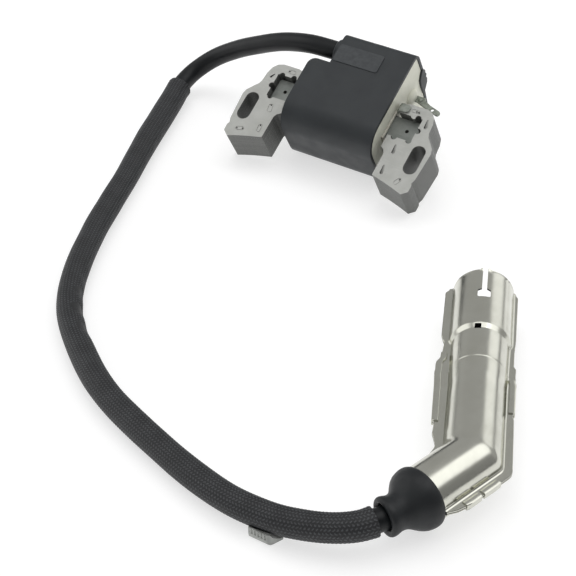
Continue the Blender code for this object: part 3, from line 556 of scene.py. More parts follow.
def smooth_route(route, step):
    """Points at an even step along a smooth curve through the route points."""
    knots = [Vector(p) for p in route]
    knots = [knots[0] * 2.0 - knots[1]] + knots + [knots[-1] * 2.0 - knots[-2]]
    fine = []
    for i in range(1, len(knots) - 2):
        p0, p1, p2, p3 = knots[i - 1:i + 3]
        t1 = (p1 - p0).length ** 0.5
        t2 = t1 + (p2 - p1).length ** 0.5
        t3 = t2 + (p3 - p2).length ** 0.5
        for n in range(32):
            t = t1 + (t2 - t1) * n / 32.0
            a1 = p0.lerp(p1, t / t1)
            a2 = p1.lerp(p2, (t - t1) / (t2 - t1))
            a3 = p2.lerp(p3, (t - t2) / (t3 - t2))
            b1 = a1.lerp(a2, t / t2)
            b2 = a2.lerp(a3, (t - t1) / (t3 - t1))
            fine.append(b1.lerp(b2, (t - t1) / (t2 - t1)))
    fine.append(knots[-2])
    lengths = [0.0]
    for a, b in zip(fine, fine[1:]):
        lengths.append(lengths[-1] + (b - a).length)
    count = max(2, round(lengths[-1] / step))
    points = []
    place = 0
    for i in range(count + 1):
        want = lengths[-1] * i / count
        while place < len(fine) - 2 and lengths[place + 1] < want:
            place += 1
        part = (want - lengths[place]) / (lengths[place + 1] - lengths[place])
        points.append(fine[place].lerp(fine[place + 1], part))
    return points


def lead_points(step):
    """Centre line of the lead from inside the tower to inside the cap's boot."""
    outside = COLLAR_END + LEAD_AXIS
    inside = COLLAR_END - LEAD_AXIS * LEAD_IN_BOOT
    points = smooth_route(list(LEAD_ROUTE) + [tuple(outside)], step)
    return points + [inside]


def path_frames(points):
    """Side and up directions carried along a path without twist."""
    frames = []
    up = Vector((0.0, 0.0, 1.0))
    last = len(points) - 1
    for i in range(len(points)):
        tangent = (points[min(i + 1, last)] - points[max(i - 1, 0)]).normalized()
        side = tangent.cross(up).normalized()
        up = side.cross(tangent).normalized()
        frames.append((side, up))
    return frames


def build_lead(looks):
    """The jacket as one smooth round curve, with its length."""
    points = lead_points(2.0)
    data = bpy.data.curves.new("lead_jacket", "CURVE")
    data.dimensions = "3D"
    data.bevel_depth = LEAD_RADIUS * MM
    data.bevel_resolution = 7
    data.use_fill_caps = True
    spline = data.splines.new("POLY")
    spline.points.add(len(points) - 1)
    for knot, point in zip(spline.points, points):
        knot.co = (*(point * MM), 1.0)
    spline.use_smooth = True
    data.materials.append(looks["lead"].made)
    lead = bpy.data.objects.new("lead_jacket", data)
    bpy.context.collection.objects.link(lead)
    settle(lead, "lead_jacket", "hv_lead")
    length = sum((b - a).length for a, b in zip(points, points[1:]))
    return lead, length


def yarn_height(around, along):
    """Height, from 0 to 1, of a two-over, two-under braid at a place on the unrolled sleeve."""
    a = around + along
    b = around - along
    over_a = (math.floor(a) + math.floor(b)) % 4 < 2
    across, runs = (a, b) if over_a else (b, a)
    crown = 1.0 - (2.0 * (across % 1.0) - 1.0) ** 2
    shift = 0.0 if over_a else 2.0
    phase = ((runs + math.floor(across) - shift) % 4.0) / 2.0
    arch = math.sin(math.pi * min(1.0, max(0.0, phase)))
    return 0.62 * math.sqrt(max(crown, 0.0)) + 0.38 * max(0.0, arch)


def build_sleeve(looks):
    """Braided tube with every yarn in relief, loose where the lead bends down to the surface."""
    points = lead_points(SLEEVE_STEP)
    frames = path_frames(points)
    first = round(SLEEVE_STARTS_AT / SLEEVE_STEP)
    last = len(points) - 2 - round(SLEEVE_SHORT_OF_BOOT / SLEEVE_STEP)
    bm = bmesh.new()
    rows = []
    inside = []
    crown = []
    start, end = SLEEVE_NARROWS_Y
    wide, narrow = SLEEVE_RADII
    turns = [2.0 * math.pi * k / SLEEVE_AROUND for k in range(SLEEVE_AROUND)]
    for i in range(first, last + 1):
        point = points[i]
        side, up = frames[i]
        base = wide + (narrow - wide) * min(1.0, max(0.0, (point.y - start) / (end - start)))
        s = i * SLEEVE_STEP
        from_end = min(i - first, last - i) * SLEEVE_STEP
        base += END_FLARE * max(0.0, 1.0 - from_end / END_FLARE_LENGTH)
        ways = [side * math.cos(turn) + up * math.sin(turn) for turn in turns]
        row = []
        for k, turn in enumerate(turns):
            around = (math.cos(turn) * SLACK_AROUND, math.sin(turn) * SLACK_AROUND)
            slack = SLACK * noise.noise(Vector((s * SLACK_ALONG, *around)))
            for place, depth, length in PUCKERS:
                pinch = math.exp(-((s - place) / length) ** 2)
                slack -= depth * pinch * max(0.0, -math.cos(turn)) ** 2
            yarn = yarn_height(SLEEVE_YARNS * k / SLEEVE_AROUND, s / SLEEVE_LAY)
            row.append(bm.verts.new(point + ways[k] * (base + slack + YARN_ROOT + YARN_RELIEF * yarn)))
            crown.append(yarn)
        rows.append(row)
        if i in (first, last) or (i - first) % SLEEVE_LINING_STEP == 0:
            inside.append([bm.verts.new(point + way * (base - SLEEVE_WALL)) for way in ways])
    inside.reverse()
    bands = rows + inside + [rows[0]]
    for index, (lower, upper) in enumerate(zip(bands, bands[1:])):
        faces = skin(bm, lower, upper)
        if index >= len(rows) - 1:
            continue
        low = crown[index * SLEEVE_AROUND:(index + 1) * SLEEVE_AROUND]
        high = crown[(index + 1) * SLEEVE_AROUND:(index + 2) * SLEEVE_AROUND]
        for k, face in enumerate(faces):
            j = (k + 1) % SLEEVE_AROUND
            # Faces high on the yarn crowns take the lighter look: painted highlight.
            if low[k] + low[j] + high[k] + high[j] > 4.0 * PAINTED_HIGHLIGHT_LEVEL:
                face.material_index = 1
    sleeve = finish_mesh("woven_sleeve", bm, looks["braid"])
    sleeve.data.materials.append(looks["braid_crown"].made)
    return settle(sleeve, "sleeve_braid", "braided_sleeve")


# ---------------- core

LEG_HALF = 7.0
SHEET_PITCH = 0.5
SHEET_GAP = 0.012
POLE_ARC_RADIUS = 110.0
POLE_ARC_Y = -117.87
SLOT_X = 34.3
SLOT_WIDTH = 5.2
SLOT_SPREAD = 6.5
POCKET_Y = (6.2, 15.8)
POCKET_END_X = 29.8
LOBES_RIGHT = ((28.1, 15.7), (30.2, 10.9), (28.9, 6.3), (23.2, 6.1))
LOBES_LEFT = ((-28.2, 15.7), (-30.0, 10.7), (-28.2, 6.3), (-23.3, 15.9))
# Interlock marks pressed into the end sheets. Rings: x, y, turn of the long side, length, width, and
# where along it the punch bit deeper (-1 to 1). Wedges: x, y, turn, length, width.
RINGS_LEFT = (
    (-32.5, -9.6, 15.0, 3.4, 1.6, (-0.85, 0.85)), (-25.4, -7.1, 95.0, 3.4, 1.6, (0.9,)),
    (-25.6, 1.7, 100.0, 3.6, 1.9, (0.9,)), (-25.1, 18.0, 0.0, 3.2, 1.7, (-0.85,)),
)
RINGS_RIGHT = ((32.5, -9.6, 60.0, 3.2, 1.6, (0.85,)), (26.2, 17.9, -3.0, 3.4, 1.4, (0.2, 0.85)))
WEDGES_LEFT = ((-31.6, 14.4, 60.0, 2.2, 0.9),)
WEDGES_RIGHT = ((25.4, -7.1, 97.0, 3.8, 1.4), (25.6, 1.7, 97.0, 3.8, 1.4), (32.0, 14.45, 97.0, 3.8, 1.4))
# Groove of a ring: width, depth. Bite: length, width, depth. Wedge: depth at its thin and broad ends.
RING_GROOVE = (0.24, 0.14)
BITE = (0.75, 0.55, 0.6)
WEDGE_DEPTH = (0.1, 1.4)
CUT_ABOVE = 0.5
# Legs: piece, CAD node, side, seed of the sheets' small shifts, lobes, rings, wedges.
LEGS = (
    ("leg_stack_left", "core_leg_left", -1, 6, LOBES_LEFT, RINGS_LEFT, WEDGES_LEFT),
    ("leg_stack_right", "core_leg_right", 1, 8, LOBES_RIGHT, RINGS_RIGHT, WEDGES_RIGHT),
)
LOBE_RADIUS = 1.1
# Bent corner in the right leg's pocket, which only the sheets above a height have.
TOOTH = ((27.6, 15.8, 0.0), (27.1, 15.15, 0.3), (26.45, 14.85, 0.3), (25.7, 15.1, 0.3), (25.0, 15.8, 0.0))
TOOTH_ABOVE = 5.0
BAR_Y = 11.0
BAR_WIDTH = 9.0
BAR_HALF = 4.0
BAR_END_X = 29.5
BAR_SEED = 3
SHEET_SHIFT = 0.012
RIVET_X = 25.25
RIVET_RADIUS = 0.7


def leg_outline(side, toothed=False):
    """Outline of one leg: pole tip, edge by the bolt slot, lobe and the bar's pocket."""
    pole = []
    for x in (22.76, 25.0, 27.2, 29.3, 31.4, 33.6, 35.76):
        pole.append((x, POLE_ARC_Y + math.sqrt(POLE_ARC_RADIUS ** 2 - x ** 2), 0.15))
    outer = [
        (37.9, -12.1, 0.4), (37.95, -9.6, 0.3), (37.5, -8.6, 0.3), (38.1, -6.9, 0.5), (38.8, 4.0, 0.8),
        (38.3, 5.9, 0.8), (36.2, 8.5, 0.9), (35.0, 9.8, 0.8), (34.5, 11.2, 0.8), (34.2, 14.9, 1.5),
        (33.4, 17.6, 1.2), (31.8, 19.4, 1.0), (29.6, 20.1, 1.0),
    ]
    inner = [
        (20.5, 20.1, 2.8), (20.5, POCKET_Y[1], 0.2), *(reversed(TOOTH) if toothed else ()),
        (POCKET_END_X, POCKET_Y[1], 0.2), (POCKET_END_X, POCKET_Y[0], 0.2), (20.5, POCKET_Y[0], 0.2),
        (20.5, 1.2, 0.2), (22.0, 0.2, 0.3), (22.7, -1.2, 0.3),
    ]
    outline = [Vector((side * p.x, p.y)) for p in rounded(pole + outer + inner, 3)]
    if side < 0:
        outline.reverse()
    return outline


def sheet_stack(name, outline, half, seed, faces, edges, upper_outline=None):
    """Stack of stamped sheets, each a few hundredths out of line with the next."""
    rng = random.Random(seed)
    bm = bmesh.new()
    count = round(2.0 * half / SHEET_PITCH)
    for i in range(count):
        low = -half + i * SHEET_PITCH + SHEET_GAP / 2.0
        shift = Vector([rng.uniform(-SHEET_SHIFT, SHEET_SHIFT) for _ in range(2)])
        if i in (0, count - 1):
            shift = Vector((0.0, 0.0))
        shape = upper_outline if upper_outline and low > TOOTH_ABOVE else outline
        add_prism(bm, [p + shift for p in shape], low, low + SHEET_PITCH - SHEET_GAP)
    stack = finish_mesh(name, bm, faces, COIL_FRAME, 30.0)
    stack.data.materials.append(edges.made)
    return stack


def dress_edges(stack):
    """Flat faces keep the first material; stamped edges take the second."""
    for polygon in stack.data.polygons:
        polygon.material_index = 0 if abs(polygon.normal.z) > 0.5 else 1
    stack.data.set_sharp_from_angle(angle=math.radians(30.0))


def oblong(x, y, turn, length, width, steps=6):
    """Outline with two round ends, its long side turned by an angle in degrees."""
    spin = Matrix.Rotation(math.radians(turn), 2)
    level = box(0.0, 0.0, length, width, 0.49 * min(length, width), steps)
    return [spin @ p + Vector((x, y)) for p in level]


def heading(turn):
    return Vector((math.cos(math.radians(turn)), math.sin(math.radians(turn))))


def ring_cutters(rings, level, facing):
    """Shallow grooves round the interlocks, then the places where the punch bit deeper."""
    bm = bmesh.new()
    groove, depth = RING_GROOVE
    long, wide, deep = BITE
    bites = []
    for x, y, turn, length, width, places in rings:
        outside = oblong(x, y, turn, length, width)
        inside = oblong(x, y, turn, length - 2.0 * groove, width - 2.0 * groove)
        up, down = level + facing * CUT_ABOVE, level - facing * depth
        loops = []
        for outline, height in ((outside, up), (outside, down), (inside, down), (inside, up)):
            loops.append([bm.verts.new((p.x, p.y, height)) for p in outline])
        for a, b in zip(loops, loops[1:] + loops[:1]):
            skin(bm, a, b)
        for place in places:
            at = Vector((x, y)) + heading(turn) * (place * (length - long) / 2.0)
            bites.append(oblong(at.x, at.y, turn, long, wide, 4))
    ends = sorted((level - facing * deep, level + facing * CUT_ABOVE))
    return finish_mesh("ring_cutter", bm, None, COIL_FRAME), coil_prism("bite_cutter", bites, *ends)


def wedge_cutter(wedges, level, facing):
    """Narrow wedges, broad and deep at the end towards the pole, that run out at the other end."""
    bm = bmesh.new()
    thin, broad = WEDGE_DEPTH
    for x, y, turn, length, width in wedges:
        along = heading(turn)
        across = Vector((-along.y, along.x))
        floor = []
        lid = []
        for p in oblong(0.0, 0.0, 0.0, length, width, 4):
            part = p.x / length + 0.5
            place = Vector((x, y)) + along * p.x + across * (p.y * (1.0 - 0.5 * part))
            depth = broad + (thin - broad) * part
            floor.append((place.x, place.y, level - facing * depth))
            lid.append((place.x, place.y, level + facing * CUT_ABOVE))
        add_solid(bm, floor, lid)
    return finish_mesh("wedge_cutter", bm, None, COIL_FRAME)


def build_core(looks):
    for name, node, side, seed, lobes, rings, wedges in LEGS:
        toothed = leg_outline(side, True) if side > 0 else None
        leg = sheet_stack(name, leg_outline(side), LEG_HALF, seed, looks["legs"], looks["edges"], toothed)
        slot = box(side * SLOT_X, 0.0, SLOT_WIDTH, SLOT_SPREAD + SLOT_WIDTH, SLOT_WIDTH / 2.0 - 0.01, 10)
        holes = [slot] + [circle(x, y, LOBE_RADIUS) for x, y in lobes]
        cut_with(leg, coil_prism("hole_cutter", holes, -9.0, 9.0))
        for facing in (1.0, -1.0):
            level = facing * LEG_HALF
            for cutter in (*ring_cutters(rings, level, facing), wedge_cutter(wedges, level, facing)):
                cut_with(leg, cutter)
        dress_edges(leg)
        settle(leg, "lamination_steel", node)
    outline = box(0.0, BAR_Y, 2.0 * BAR_END_X, BAR_WIDTH, 0.6)
    bar = sheet_stack("bar_stack", outline, BAR_HALF, BAR_SEED, looks["bar"], looks["edges"])
    rivets = [circle(side * RIVET_X, BAR_Y, RIVET_RADIUS) for side in (-1, 1)]
    cut_with(bar, coil_prism("hole_cutter", rivets, -6.0, 6.0))
    dress_edges(bar)
    settle(bar, "bar_steel", "core_bar")


# ---------------- housing, resin and terminals

LABEL_X = (-9.6, 7.6)
LABEL_Y = (25.0, 31.4)
LABEL_TOP = 13.15
RESIN_X = (14.6, 18.2)
# Resin's outline inside the walls, as (y, z, corner radius), with the step in the back wall.
RESIN_OUTLINE = (
    (-2.55, -15.08, 7.75), (32.1, -15.08, 0.3), (33.4, -5.975, 0.0), (35.95, -4.375, 0.5),
    (35.95, 11.65, 1.5), (-2.55, 11.65, 7.75),
)
# Openings as (y, z, width, height): bobbin end, earth strap, stop blade.
RESIN_OPENINGS = ((11.0, 0.0, 12.0, 11.0), (19.7, 2.0, 3.8, 0.9), (26.5, -0.5, 2.6, 1.1))
# Black plastic that has run over the rim at the back wall, as (y, z), and its reach in x.
RIM_FLASH = (
    (36.3, 3.8), (34.4, 2.0), (33.2, 0.5), (32.8, -2.2), (32.8, -5.0), (33.0, -7.4), (34.0, -6.9),
    (35.4, -5.9), (36.9, -4.6), (37.5, -3.0), (37.1, -1.9), (37.9, -0.8), (37.4, 0.3), (37.8, 1.5),
    (37.0, 2.9),
)
FLASH_X = (17.2, 18.9)
# Resin drawn up round the blade's root: x, y, z, reach in x, half width, half height.
RESIN_MOUND = (18.1, 26.5, -0.5, 2.3, 3.4, 2.6)
BLADE_OUTLINE = (
    (14.9, 25.3, 0.0), (21.0, 25.3, 0.8), (26.6, 23.45, 1.0), (30.9, 22.15, 0.95), (31.5, 24.1, 0.95),
    (26.4, 25.6, 1.0), (24.2, 26.7, 0.2), (23.5, 27.8, 0.5), (21.0, 27.8, 0.5), (14.9, 27.6, 0.0),
)
BLADE_Z = (-0.9, -0.1)
# Hole: x, y, radius. Rivet head: x, y, radius, height.
BLADE_HOLE = (28.0, 24.05, 0.6)
BLADE_RIVET = (22.2, 26.4, 0.95, 0.5)
DOME_SUNK = 0.1
DOME_TIP = 0.032
# The coil's y, z and x axes as the x, y and z of a prism.
ACROSS = Matrix(((0.0, 0.0, 1.0, 0.0), (1.0, 0.0, 0.0, 0.0), (0.0, 1.0, 0.0, 0.0), (0.0, 0.0, 0.0, 1.0)))


def build_housing(looks):
    """Case with rounded edges, its pad in a slightly greyer finish."""
    case = copy_of("coil_housing", "housing_shell", looks["housing"], 0.45, 3)
    case.data.materials.append(looks["label"].made)
    place = COIL_FRAME.inverted()
    for polygon in case.data.polygons:
        centre = place @ polygon.center / MM
        normal = place.to_3x3() @ polygon.normal
        inside = LABEL_X[0] < centre.x < LABEL_X[1] and LABEL_Y[0] < centre.y < LABEL_Y[1]
        if inside and normal.z > 0.9 and centre.z > LABEL_TOP - 0.1:
            polygon.material_index = 1
    settle(case, "housing_plastic", "coil_housing")
    ends = copy_of("primary_bobbin", "bobbin_shell", looks["bobbin"], 0.25, 2)
    settle(ends, "bobbin_plastic", "primary_bobbin")


def across_winding(outline, low, high, name, look=None):
    """Solid of an outline in the coil's yz plane, from one x to another."""
    bm = bmesh.new()
    add_prism(bm, outline, low, high)
    made = finish_mesh(name, bm, look, sharp=30.0)
    made.data.transform(COIL_FRAME @ ACROSS)
    return made


def dome(place, reach, side, up, step):
    """Rings of a dome on its half axes, a step in degrees apart, the first one sunk a little."""
    rings = []
    leans = [math.radians(step * i) for i in range(int(90.0 / step) + 1)]
    levels = [(math.sin(a), max(math.cos(a), DOME_TIP)) for a in leans]
    for rise, spread in [(-DOME_SUNK / reach.length, 1.0)] + levels:
        ring = circle(0.0, 0.0, spread, 32)
        rings.append([place + reach * rise + side * p.x + up * p.y for p in ring])
    return rings


def build_potting(looks):
    """Cast resin that fills the open end, with openings close round the bobbin and the terminals."""
    fill = across_winding(rounded(RESIN_OUTLINE, 10), *RESIN_X, "resin_fill", looks["potting"])
    before, past = RESIN_X[0] - 2.0, RESIN_X[1] + 2.0
    for opening in RESIN_OPENINGS:
        cut_with(fill, across_winding(box(*opening), before, past, "cutter"))
    flash = [Vector(p) for p in RIM_FLASH]
    cut_with(fill, across_winding(flash, FLASH_X[0] - 0.05, past, "cutter"))
    soften(fill, 0.25)
    settle(fill, "potting_resin", "potting_fill")
    x, y, z, reach, wide, high = RESIN_MOUND
    across = (Vector((0.0, wide, 0.0)), Vector((0.0, 0.0, high)))
    rings = dome(Vector((x, y, z)), Vector((reach, 0.0, 0.0)), *across, 11.0)
    mound = loft("resin_mound", rings, looks["potting"], sharp=50.0)
    mound.data.transform(COIL_FRAME)
    settle(mound, "potting_resin")
    lump = across_winding(flash, *FLASH_X, "rim_flash", looks["housing"])
    soften(lump, 0.35, 3)
    settle(lump, "housing_plastic")


def build_terminals(looks):
    strap = copy_of("ground_strap", "strap_strip", looks["strap"], 0.15, 2, 25.0, 50.0)
    settle(strap, "strip_steel", "ground_strap")
    blade = coil_prism("stop_blade", [rounded(BLADE_OUTLINE, 6)], *BLADE_Z, looks["blade"], 30.0)
    cut_with(blade, coil_prism("hole_cutter", [circle(*BLADE_HOLE, 32)], -3.0, 3.0))
    soften(blade, 0.12)
    settle(blade, "strip_steel", "kill_terminal")
    x, y, radius, height = BLADE_RIVET
    across = (Vector((radius, 0.0, 0.0)), Vector((0.0, radius, 0.0)))
    rings = dome(Vector((x, y, BLADE_Z[1])), Vector((0.0, 0.0, height)), *across, 15.0)
    rivet = loft("blade_rivet", rings, looks["blade"], COIL_FRAME, 60.0)
    settle(rivet, "strip_steel")


def build_clip(looks):
    clip = copy_of("lead_clip", "clip_saddle", looks["clip"], 0.25, 2)
    return settle(clip, "clip_plastic", "lead_clip")


# ---------------- plug cap

GAP = 0.3
ELBOW = Vector((114.70, -127.72, 9.71))
ARM_OUT = Vector((-0.40793, 0.91301, 0.0)).normalized()
ARM_IN = Vector((-0.27737, -0.96076, 0.0)).normalized()
CAP_UP = ARM_OUT.cross(ARM_IN).normalized()
SIDE_OUT = CAP_UP.cross(ARM_OUT).normalized()
SIDE_IN = CAP_UP.cross(-ARM_IN).normalized()
SHEET = 0.5
HALF_LOW = GAP / 2.0
HALF_HIGH = HALF_LOW + SHEET
MOUTH_AT = 77.0
RIM_AT = 19.95
TUBE_RADIUS = 8.43
STATION_STEP = 0.7
ELBOW_BLEND = 9.0
CREASE = 1.6
FILLET = 0.9
ARC_STEPS = 60
INSIDE_COLUMNS = 25
# Shield radius and flange widths along the mouth arm: distance from the elbow, then the value.
RADIUS_OUT = (
    (77.0, 9.55), (76.5, 9.45), (76.0, 9.43), (51.0, 9.43), (50.7, 9.38), (49.5, 8.86), (49.1, 8.72),
    (41.0, 8.58), (36.7, 8.50), (36.35, 8.40), (36.1, 8.62), (35.4, 8.62), (30.0, TUBE_RADIUS),
    (0.0, TUBE_RADIUS),
)
LEFT_OUT = (
    (77.0, 1.2), (76.2, 1.6), (75.0, 2.5), (54.0, 2.5), (51.6, 1.9), (50.6, 1.6), (49.2, 2.2), (45.2, 2.6),
    (42.6, 2.7), (40.6, 3.9), (36.0, 4.0), (14.6, 3.7), (14.2, 3.2), (9.0, 3.5), (0.0, 2.2),
)
RIGHT_OUT = (
    (77.0, 0.7), (76.2, 0.9), (75.0, 1.5), (54.0, 1.4), (50.6, 1.2), (49.4, 1.8), (41.8, 1.9), (40.4, 2.6),
    (35.6, 2.6), (35.2, 2.0), (33.0, 2.6), (20.6, 2.6), (20.2, 2.2), (18.0, 2.7), (0.0, 2.9),
)
LEFT_IN = ((0.0, 2.2), (5.0, 1.4), (9.0, 1.2), (16.0, 0.8), (RIM_AT, 0.6))
RIGHT_IN = ((0.0, 2.9), (13.0, 2.9), (17.0, 2.2), (RIM_AT, 0.9))
# Folded tabs that clamp the two flanges: arm, side, from, to.
TABS = (("out", 1, 14.6, 45.0), ("out", -1, 20.6, 35.0), ("in", -1, 4.0, 8.4), ("in", -1, 9.2, 14.2))
TAB_SHEET = 0.42
TAB_REACH = 1.7
TAB_BULGE = 0.25
TAB_WAVE = 0.05
KEYHOLE_WIDTH = 1.55
KEYHOLE_LENGTH = 13.6
KEYHOLE_FOOT = (4.0, 4.0)
# Edges of the keyhole curl outwards near the mouth: where from, by how much, over what width.
CURL = (74.5, 0.55, 0.55)
# Drawn line along the wide part: where from, its angle, half width in degrees, depth.
DRAWN_LINE = (52.0, 142.0, 2.5, 0.1)
# Latch window: across, distance from the elbow, width, length.
LATCH = (1.2, 49.55, 2.0, 1.7)
CUTTER_REACH = (6.0, 13.0)
SHIELD_SHARP = 38.0
MITRE = (SIDE_OUT + SIDE_IN).normalized()
# Lean of the mitre plane: on the inside of the bend it lies further up both arms.
SHEAR = math.copysign(math.tan(math.acos(MITRE.dot(SIDE_OUT))), MITRE.dot(ARM_OUT))


def value_at(table, s):
    """Value of a table of (place, value) rows, straight between rows, in either order."""
    rows = sorted(table)
    if s <= rows[0][0]:
        return rows[0][1]
    for (a, x), (b, y) in zip(rows, rows[1:]):
        if s <= b:
            return x + (y - x) * (s - a) / (b - a)
    return rows[-1][1]


def fibre(s, x, y):
    """Point of the shield's surface; s runs up the mouth arm, and below zero down the lead arm."""
    lean = max(0.0, 1.0 - max(0.0, abs(s) - CREASE) / ELBOW_BLEND)
    if abs(s) >= CREASE:
        return arm_point(s, x, y, lean)
    part = (CREASE - s) / (2.0 * CREASE)
    a = arm_point(CREASE, x, y, 1.0)
    m = arm_point(0.0, x, y, 1.0)
    b = arm_point(-CREASE, x, y, 1.0)
    return a * (1 - part) ** 2 + m * (2 * part * (1 - part)) + b * part ** 2


def arm_point(s, x, y, lean):
    """Point beside one arm's axis; lean shears its section towards the mitre plane."""
    arm, side = (ARM_OUT, SIDE_OUT) if s >= 0.0 else (ARM_IN, SIDE_IN)
    return ELBOW + arm * (abs(s) + SHEAR * lean * x) + side * x + CAP_UP * y


def shield_stations():
    """Places along both arms, close together where the section changes."""
    places = {-RIM_AT}
    for i in range(int((MOUTH_AT - CREASE) / STATION_STEP) + 1):
        places.add(round(MOUTH_AT - STATION_STEP * i, 3))
    for i in range(int((RIM_AT - CREASE) / STATION_STEP) + 1):
        places.add(round(-CREASE - STATION_STEP * i, 3))
    for part in range(9):
        places.add(round(CREASE * (1.0 - part / 4.0), 3))
    places.update(place for place, _ in RADIUS_OUT + LEFT_OUT + RIGHT_OUT if place > CREASE)
    return sorted(places, reverse=True)


def shield_section(s):
    """Radius and the flange widths, left then right, at a place."""
    if s >= 0.0:
        return value_at(RADIUS_OUT, s), value_at(LEFT_OUT, s), value_at(RIGHT_OUT, s)
    return TUBE_RADIUS, value_at(LEFT_IN, -s), value_at(RIGHT_IN, -s)


def flange_root(radius):
    """Fillet between tube and flange: its points, and the angle where it meets the tube."""
    level = HALF_HIGH + FILLET
    xc = math.sqrt((radius + FILLET) ** 2 - level ** 2)
    meets = math.atan2(level, xc)
    first = math.radians(270.0)
    points = []
    for i in range(5):
        a = first + (math.pi + meets - first) * i / 4
        points.append((xc + FILLET * math.cos(a), level + FILLET * math.sin(a)))
    return points, meets


def flange(radius, width, root):
    """Section of one flange from its edge in, with the part of the fillet that it covers."""
    edge = radius + width
    points = [p for p in root[:-1] if p[0] < edge - 0.16]
    while len(points) < 4:
        points.insert(0, (edge - 0.16, HALF_HIGH))
    return [(edge, HALF_LOW), (edge, HALF_LOW + 0.35), (edge - 0.15, HALF_HIGH)] + points


def shield_ring(s, half):
    """Closed section of one half: flange, fillet, outer arc, fillet, flange and inner arc."""
    radius, left, right = shield_section(s)
    root, meets = flange_root(radius)
    curl_from, curl, curl_width = CURL
    line_from, line_at, line_width, line_depth = DRAWN_LINE
    ring = flange(radius, left, root)
    for i in range(ARC_STEPS + 1):
        a = meets + (math.pi - 2.0 * meets) * i / ARC_STEPS
        r = radius
        if half > 0 and s > curl_from:
            off = abs(radius * math.cos(a)) - KEYHOLE_WIDTH / 2.0 - 0.25
            rise = ((s - curl_from) / (MOUTH_AT - curl_from)) ** 2
            r += curl * math.exp(-(off / curl_width) ** 2) * rise
        if s > line_from:
            r -= line_depth * math.exp(-((math.degrees(a) - line_at) / line_width) ** 2)
        ring.append((r * math.cos(a), r * math.sin(a)))
    ring += [(-x, y) for x, y in reversed(flange(radius, right, root))]
    inner = radius - SHEET
    start = math.asin(HALF_LOW / inner)
    for i in range(INSIDE_COLUMNS - 1, -1, -1):
        a = start + (math.pi - 2.0 * start) * i / (INSIDE_COLUMNS - 1)
        ring.append((inner * math.cos(a), inner * math.sin(a)))
    return [fibre(s, x, y * half) for x, y in ring]


def tab_rings(arm, side, low_at, high_at):
    """Strip folded round both flanges: a U section swept along the flange."""
    rings = []
    steps = max(2, round(high_at - low_at))
    top = HALF_HIGH + 0.04
    t = TAB_SHEET
    for i in range(steps + 1):
        place = low_at + (high_at - low_at) * i / steps
        s = place if arm == "out" else -place
        radius, left, right = shield_section(s)
        edge = radius + (left if side > 0 else right)
        bulge = TAB_BULGE * math.sin(math.pi * i / steps) ** 0.5
        root = edge - TAB_REACH + TAB_WAVE * math.sin(place * 1.7)
        out = edge + t * 0.8 + bulge * 0.3
        shape = (
            (root, top), (root + 0.1, top + t * 0.8), (root + 0.3, top + t), (out - 0.35, top + t),
            (out - 0.08, top + t * 0.6), (out, top * 0.5), (out, -top * 0.5), (out - 0.08, -top - t * 0.6),
            (out - 0.35, -top - t), (root + 0.3, -top - t), (root, -top), (edge + 0.05, -top),
            (edge + 0.05, top),
        )
        rings.append([fibre(s, side * x, y) for x, y in shape])
    return rings


def cap_prism(outline):
    """Cutter over the mouth arm: outline (across, distance from the elbow)."""
    bm = bmesh.new()
    places = [ELBOW + ARM_OUT * p.y + SIDE_OUT * p.x for p in outline]
    add_solid(bm, *([place + CAP_UP * level for place in places] for level in CUTTER_REACH))
    return finish_mesh("shield_cutter", bm)


def keyhole_outline():
    """Slot from the mouth with a round-cornered foot."""
    w = KEYHOLE_WIDTH / 2.0
    foot = KEYHOLE_FOOT[0] / 2.0
    end = MOUTH_AT - KEYHOLE_LENGTH
    top = end + KEYHOLE_FOOT[1]
    return rounded((
        (-w, MOUTH_AT + 2.0, 0.0), (w, MOUTH_AT + 2.0, 0.0), (w, top, 0.3), (foot, top - 0.6, 0.6),
        (foot, end, 0.6), (-foot, end, 0.6), (-foot, top - 0.6, 0.6), (-w, top, 0.3),
    ))


def build_shield(looks):
    """Two pressed halves with filleted flanges, and the tabs that hold them together."""
    stations = shield_stations()
    pieces = []
    for name, node, half in (
        ("shield_half_upper", "shield_upper", 1.0), ("shield_half_lower", "shield_lower", -1.0),
    ):
        rings = [shield_ring(s, half) for s in stations]
        around = len(rings[0])
        shell = loft(name, rings, looks["shield"], sharp=SHIELD_SHARP)
        shell.data.materials.append(looks["shield_inside"].made)
        for polygon in shell.data.polygons:
            first = min(v % around for v in polygon.vertices)
            if len(polygon.vertices) == 4 and first >= around - INSIDE_COLUMNS:
                polygon.material_index = 1
        if half > 0:
            cut_with(shell, cap_prism(keyhole_outline()))
            cut_with(shell, cap_prism(box(*LATCH, 0.2, 3)))
            shell.data.set_sharp_from_angle(angle=math.radians(SHIELD_SHARP))
        pieces.append(settle(shell, "shield_steel", node, body=CAP_BODY))
    for number, tab in enumerate(TABS, 1):
        strip = loft("shield_tab_%d" % number, tab_rings(*tab), looks["shield"], sharp=50.0)
        pieces.append(settle(strip, "shield_steel", body=CAP_BODY))
    return pieces


BOOT_INNER_END = 16.8
BOOT_STRAIGHT = 7.0
BOOT_BORE = 3.8
BOOT_AROUND = 72
# Outside of the boot: distance along its centre line, radius.
BOOT_PROFILE = (
    (0.0, 7.2), (2.95, 7.25), (3.2, 7.4), (3.22, 8.8), (3.35, 9.05), (3.75, 9.25), (4.3, 9.33),
    (4.9, 9.32), (5.6, 9.22), (6.6, 8.98), (7.4, 8.6), (8.2, 8.08), (9.0, 7.45), (9.8, 6.8), (10.6, 6.2),
    (11.4, 5.72), (12.2, 5.42), (13.0, 5.3), (13.8, 5.33), (14.5, 5.5), (15.2, 5.7), (15.8, 5.8),
    (16.3, 5.76), (16.62, 5.6), (16.8, 5.3),
)
BOOT_LIP = ((0.12, 4.9), (0.05, 4.4), (-0.2, 4.05), (-0.7, 3.86), (-2.0, BOOT_BORE), (-10.8, BOOT_BORE))


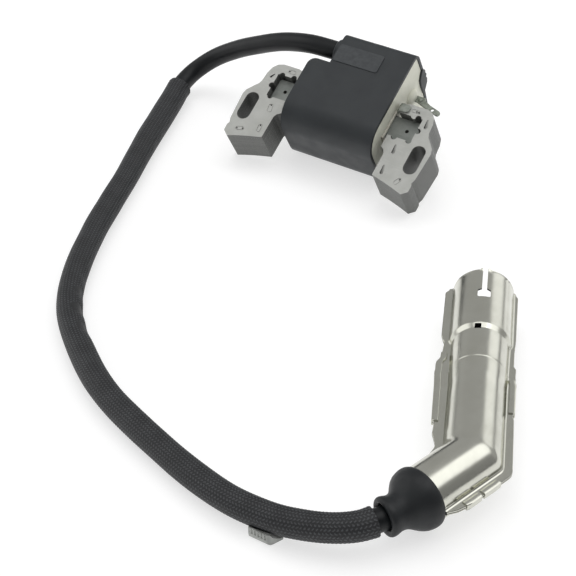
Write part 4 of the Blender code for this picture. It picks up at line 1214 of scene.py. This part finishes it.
def ring_points(centre, side, up, radius):
    return [centre + side * p.x + up * p.y for p in circle(0.0, 0.0, radius, BOOT_AROUND)]


def build_boot(looks):
    """Rubber bell over the shield's rim, a cuff round the lead and a bore with a rolled lip."""
    start = ELBOW + ARM_IN * BOOT_INNER_END
    knee = start + ARM_IN * BOOT_STRAIGHT
    bend = BOOT_PROFILE[-1][0] - BOOT_STRAIGHT
    handle = knee + ARM_IN * (bend * 0.5)
    rings = []
    for s, radius in BOOT_PROFILE:
        if s <= BOOT_STRAIGHT:
            centre = start + ARM_IN * s
            tangent = ARM_IN
        else:
            t = (s - BOOT_STRAIGHT) / bend
            centre = knee * (1 - t) ** 2 + handle * (2 * t * (1 - t)) + COLLAR_END * t ** 2
            tangent = ((handle - knee) * (1 - t) + (COLLAR_END - handle) * t).normalized()
        side = CAP_UP.cross(tangent).normalized()
        rings.append(ring_points(centre, side, tangent.cross(side), radius))
    side = CAP_UP.cross(LEAD_AXIS).normalized()
    for s, radius in BOOT_LIP:
        rings.append(ring_points(COLLAR_END + LEAD_AXIS * s, side, LEAD_AXIS.cross(side), radius))
    boot = loft("rubber_boot", rings, looks["boot"], sharp=55.0)
    return settle(boot, "boot_rubber", "boot_grommet", body=CAP_BODY)


# ---------------- CAD nodes that keep their shape

NODE_LOOKS = {
    "winding": ("primary_winding", *("secondary_winding_%d" % number for number in range(1, 5))),
    "bobbin": ("secondary_bobbin",),
    "board": ("trigger_board",),
    "component": ("trigger_transistor",),
    "ceramic": ("trigger_resistor", "suppressor_resistor"),
    "brass": ("tower_contact", "core_screw", "plug_terminal_clip"),
    "strand": ("lead_core_coil_end", "lead_core_cap_end"),
    "insulator": ("cap_insulator",),
    "strip": ("contact_spring",),
}


def dress_nodes(looks):
    for key, names in NODE_LOOKS.items():
        for name in names:
            for slot in NODES[name].material_slots:
                slot.material = looks[key].made


def main():
    looks = build_looks()
    build_camera()
    build_world()
    build_floor()
    lead, length = build_lead(looks)
    sleeve = build_sleeve(looks)
    build_core(looks)
    build_housing(looks)
    build_potting(looks)
    build_terminals(looks)
    clip = build_clip(looks)
    cap = build_shield(looks) + [build_boot(looks)]
    dress_nodes(looks)


main()
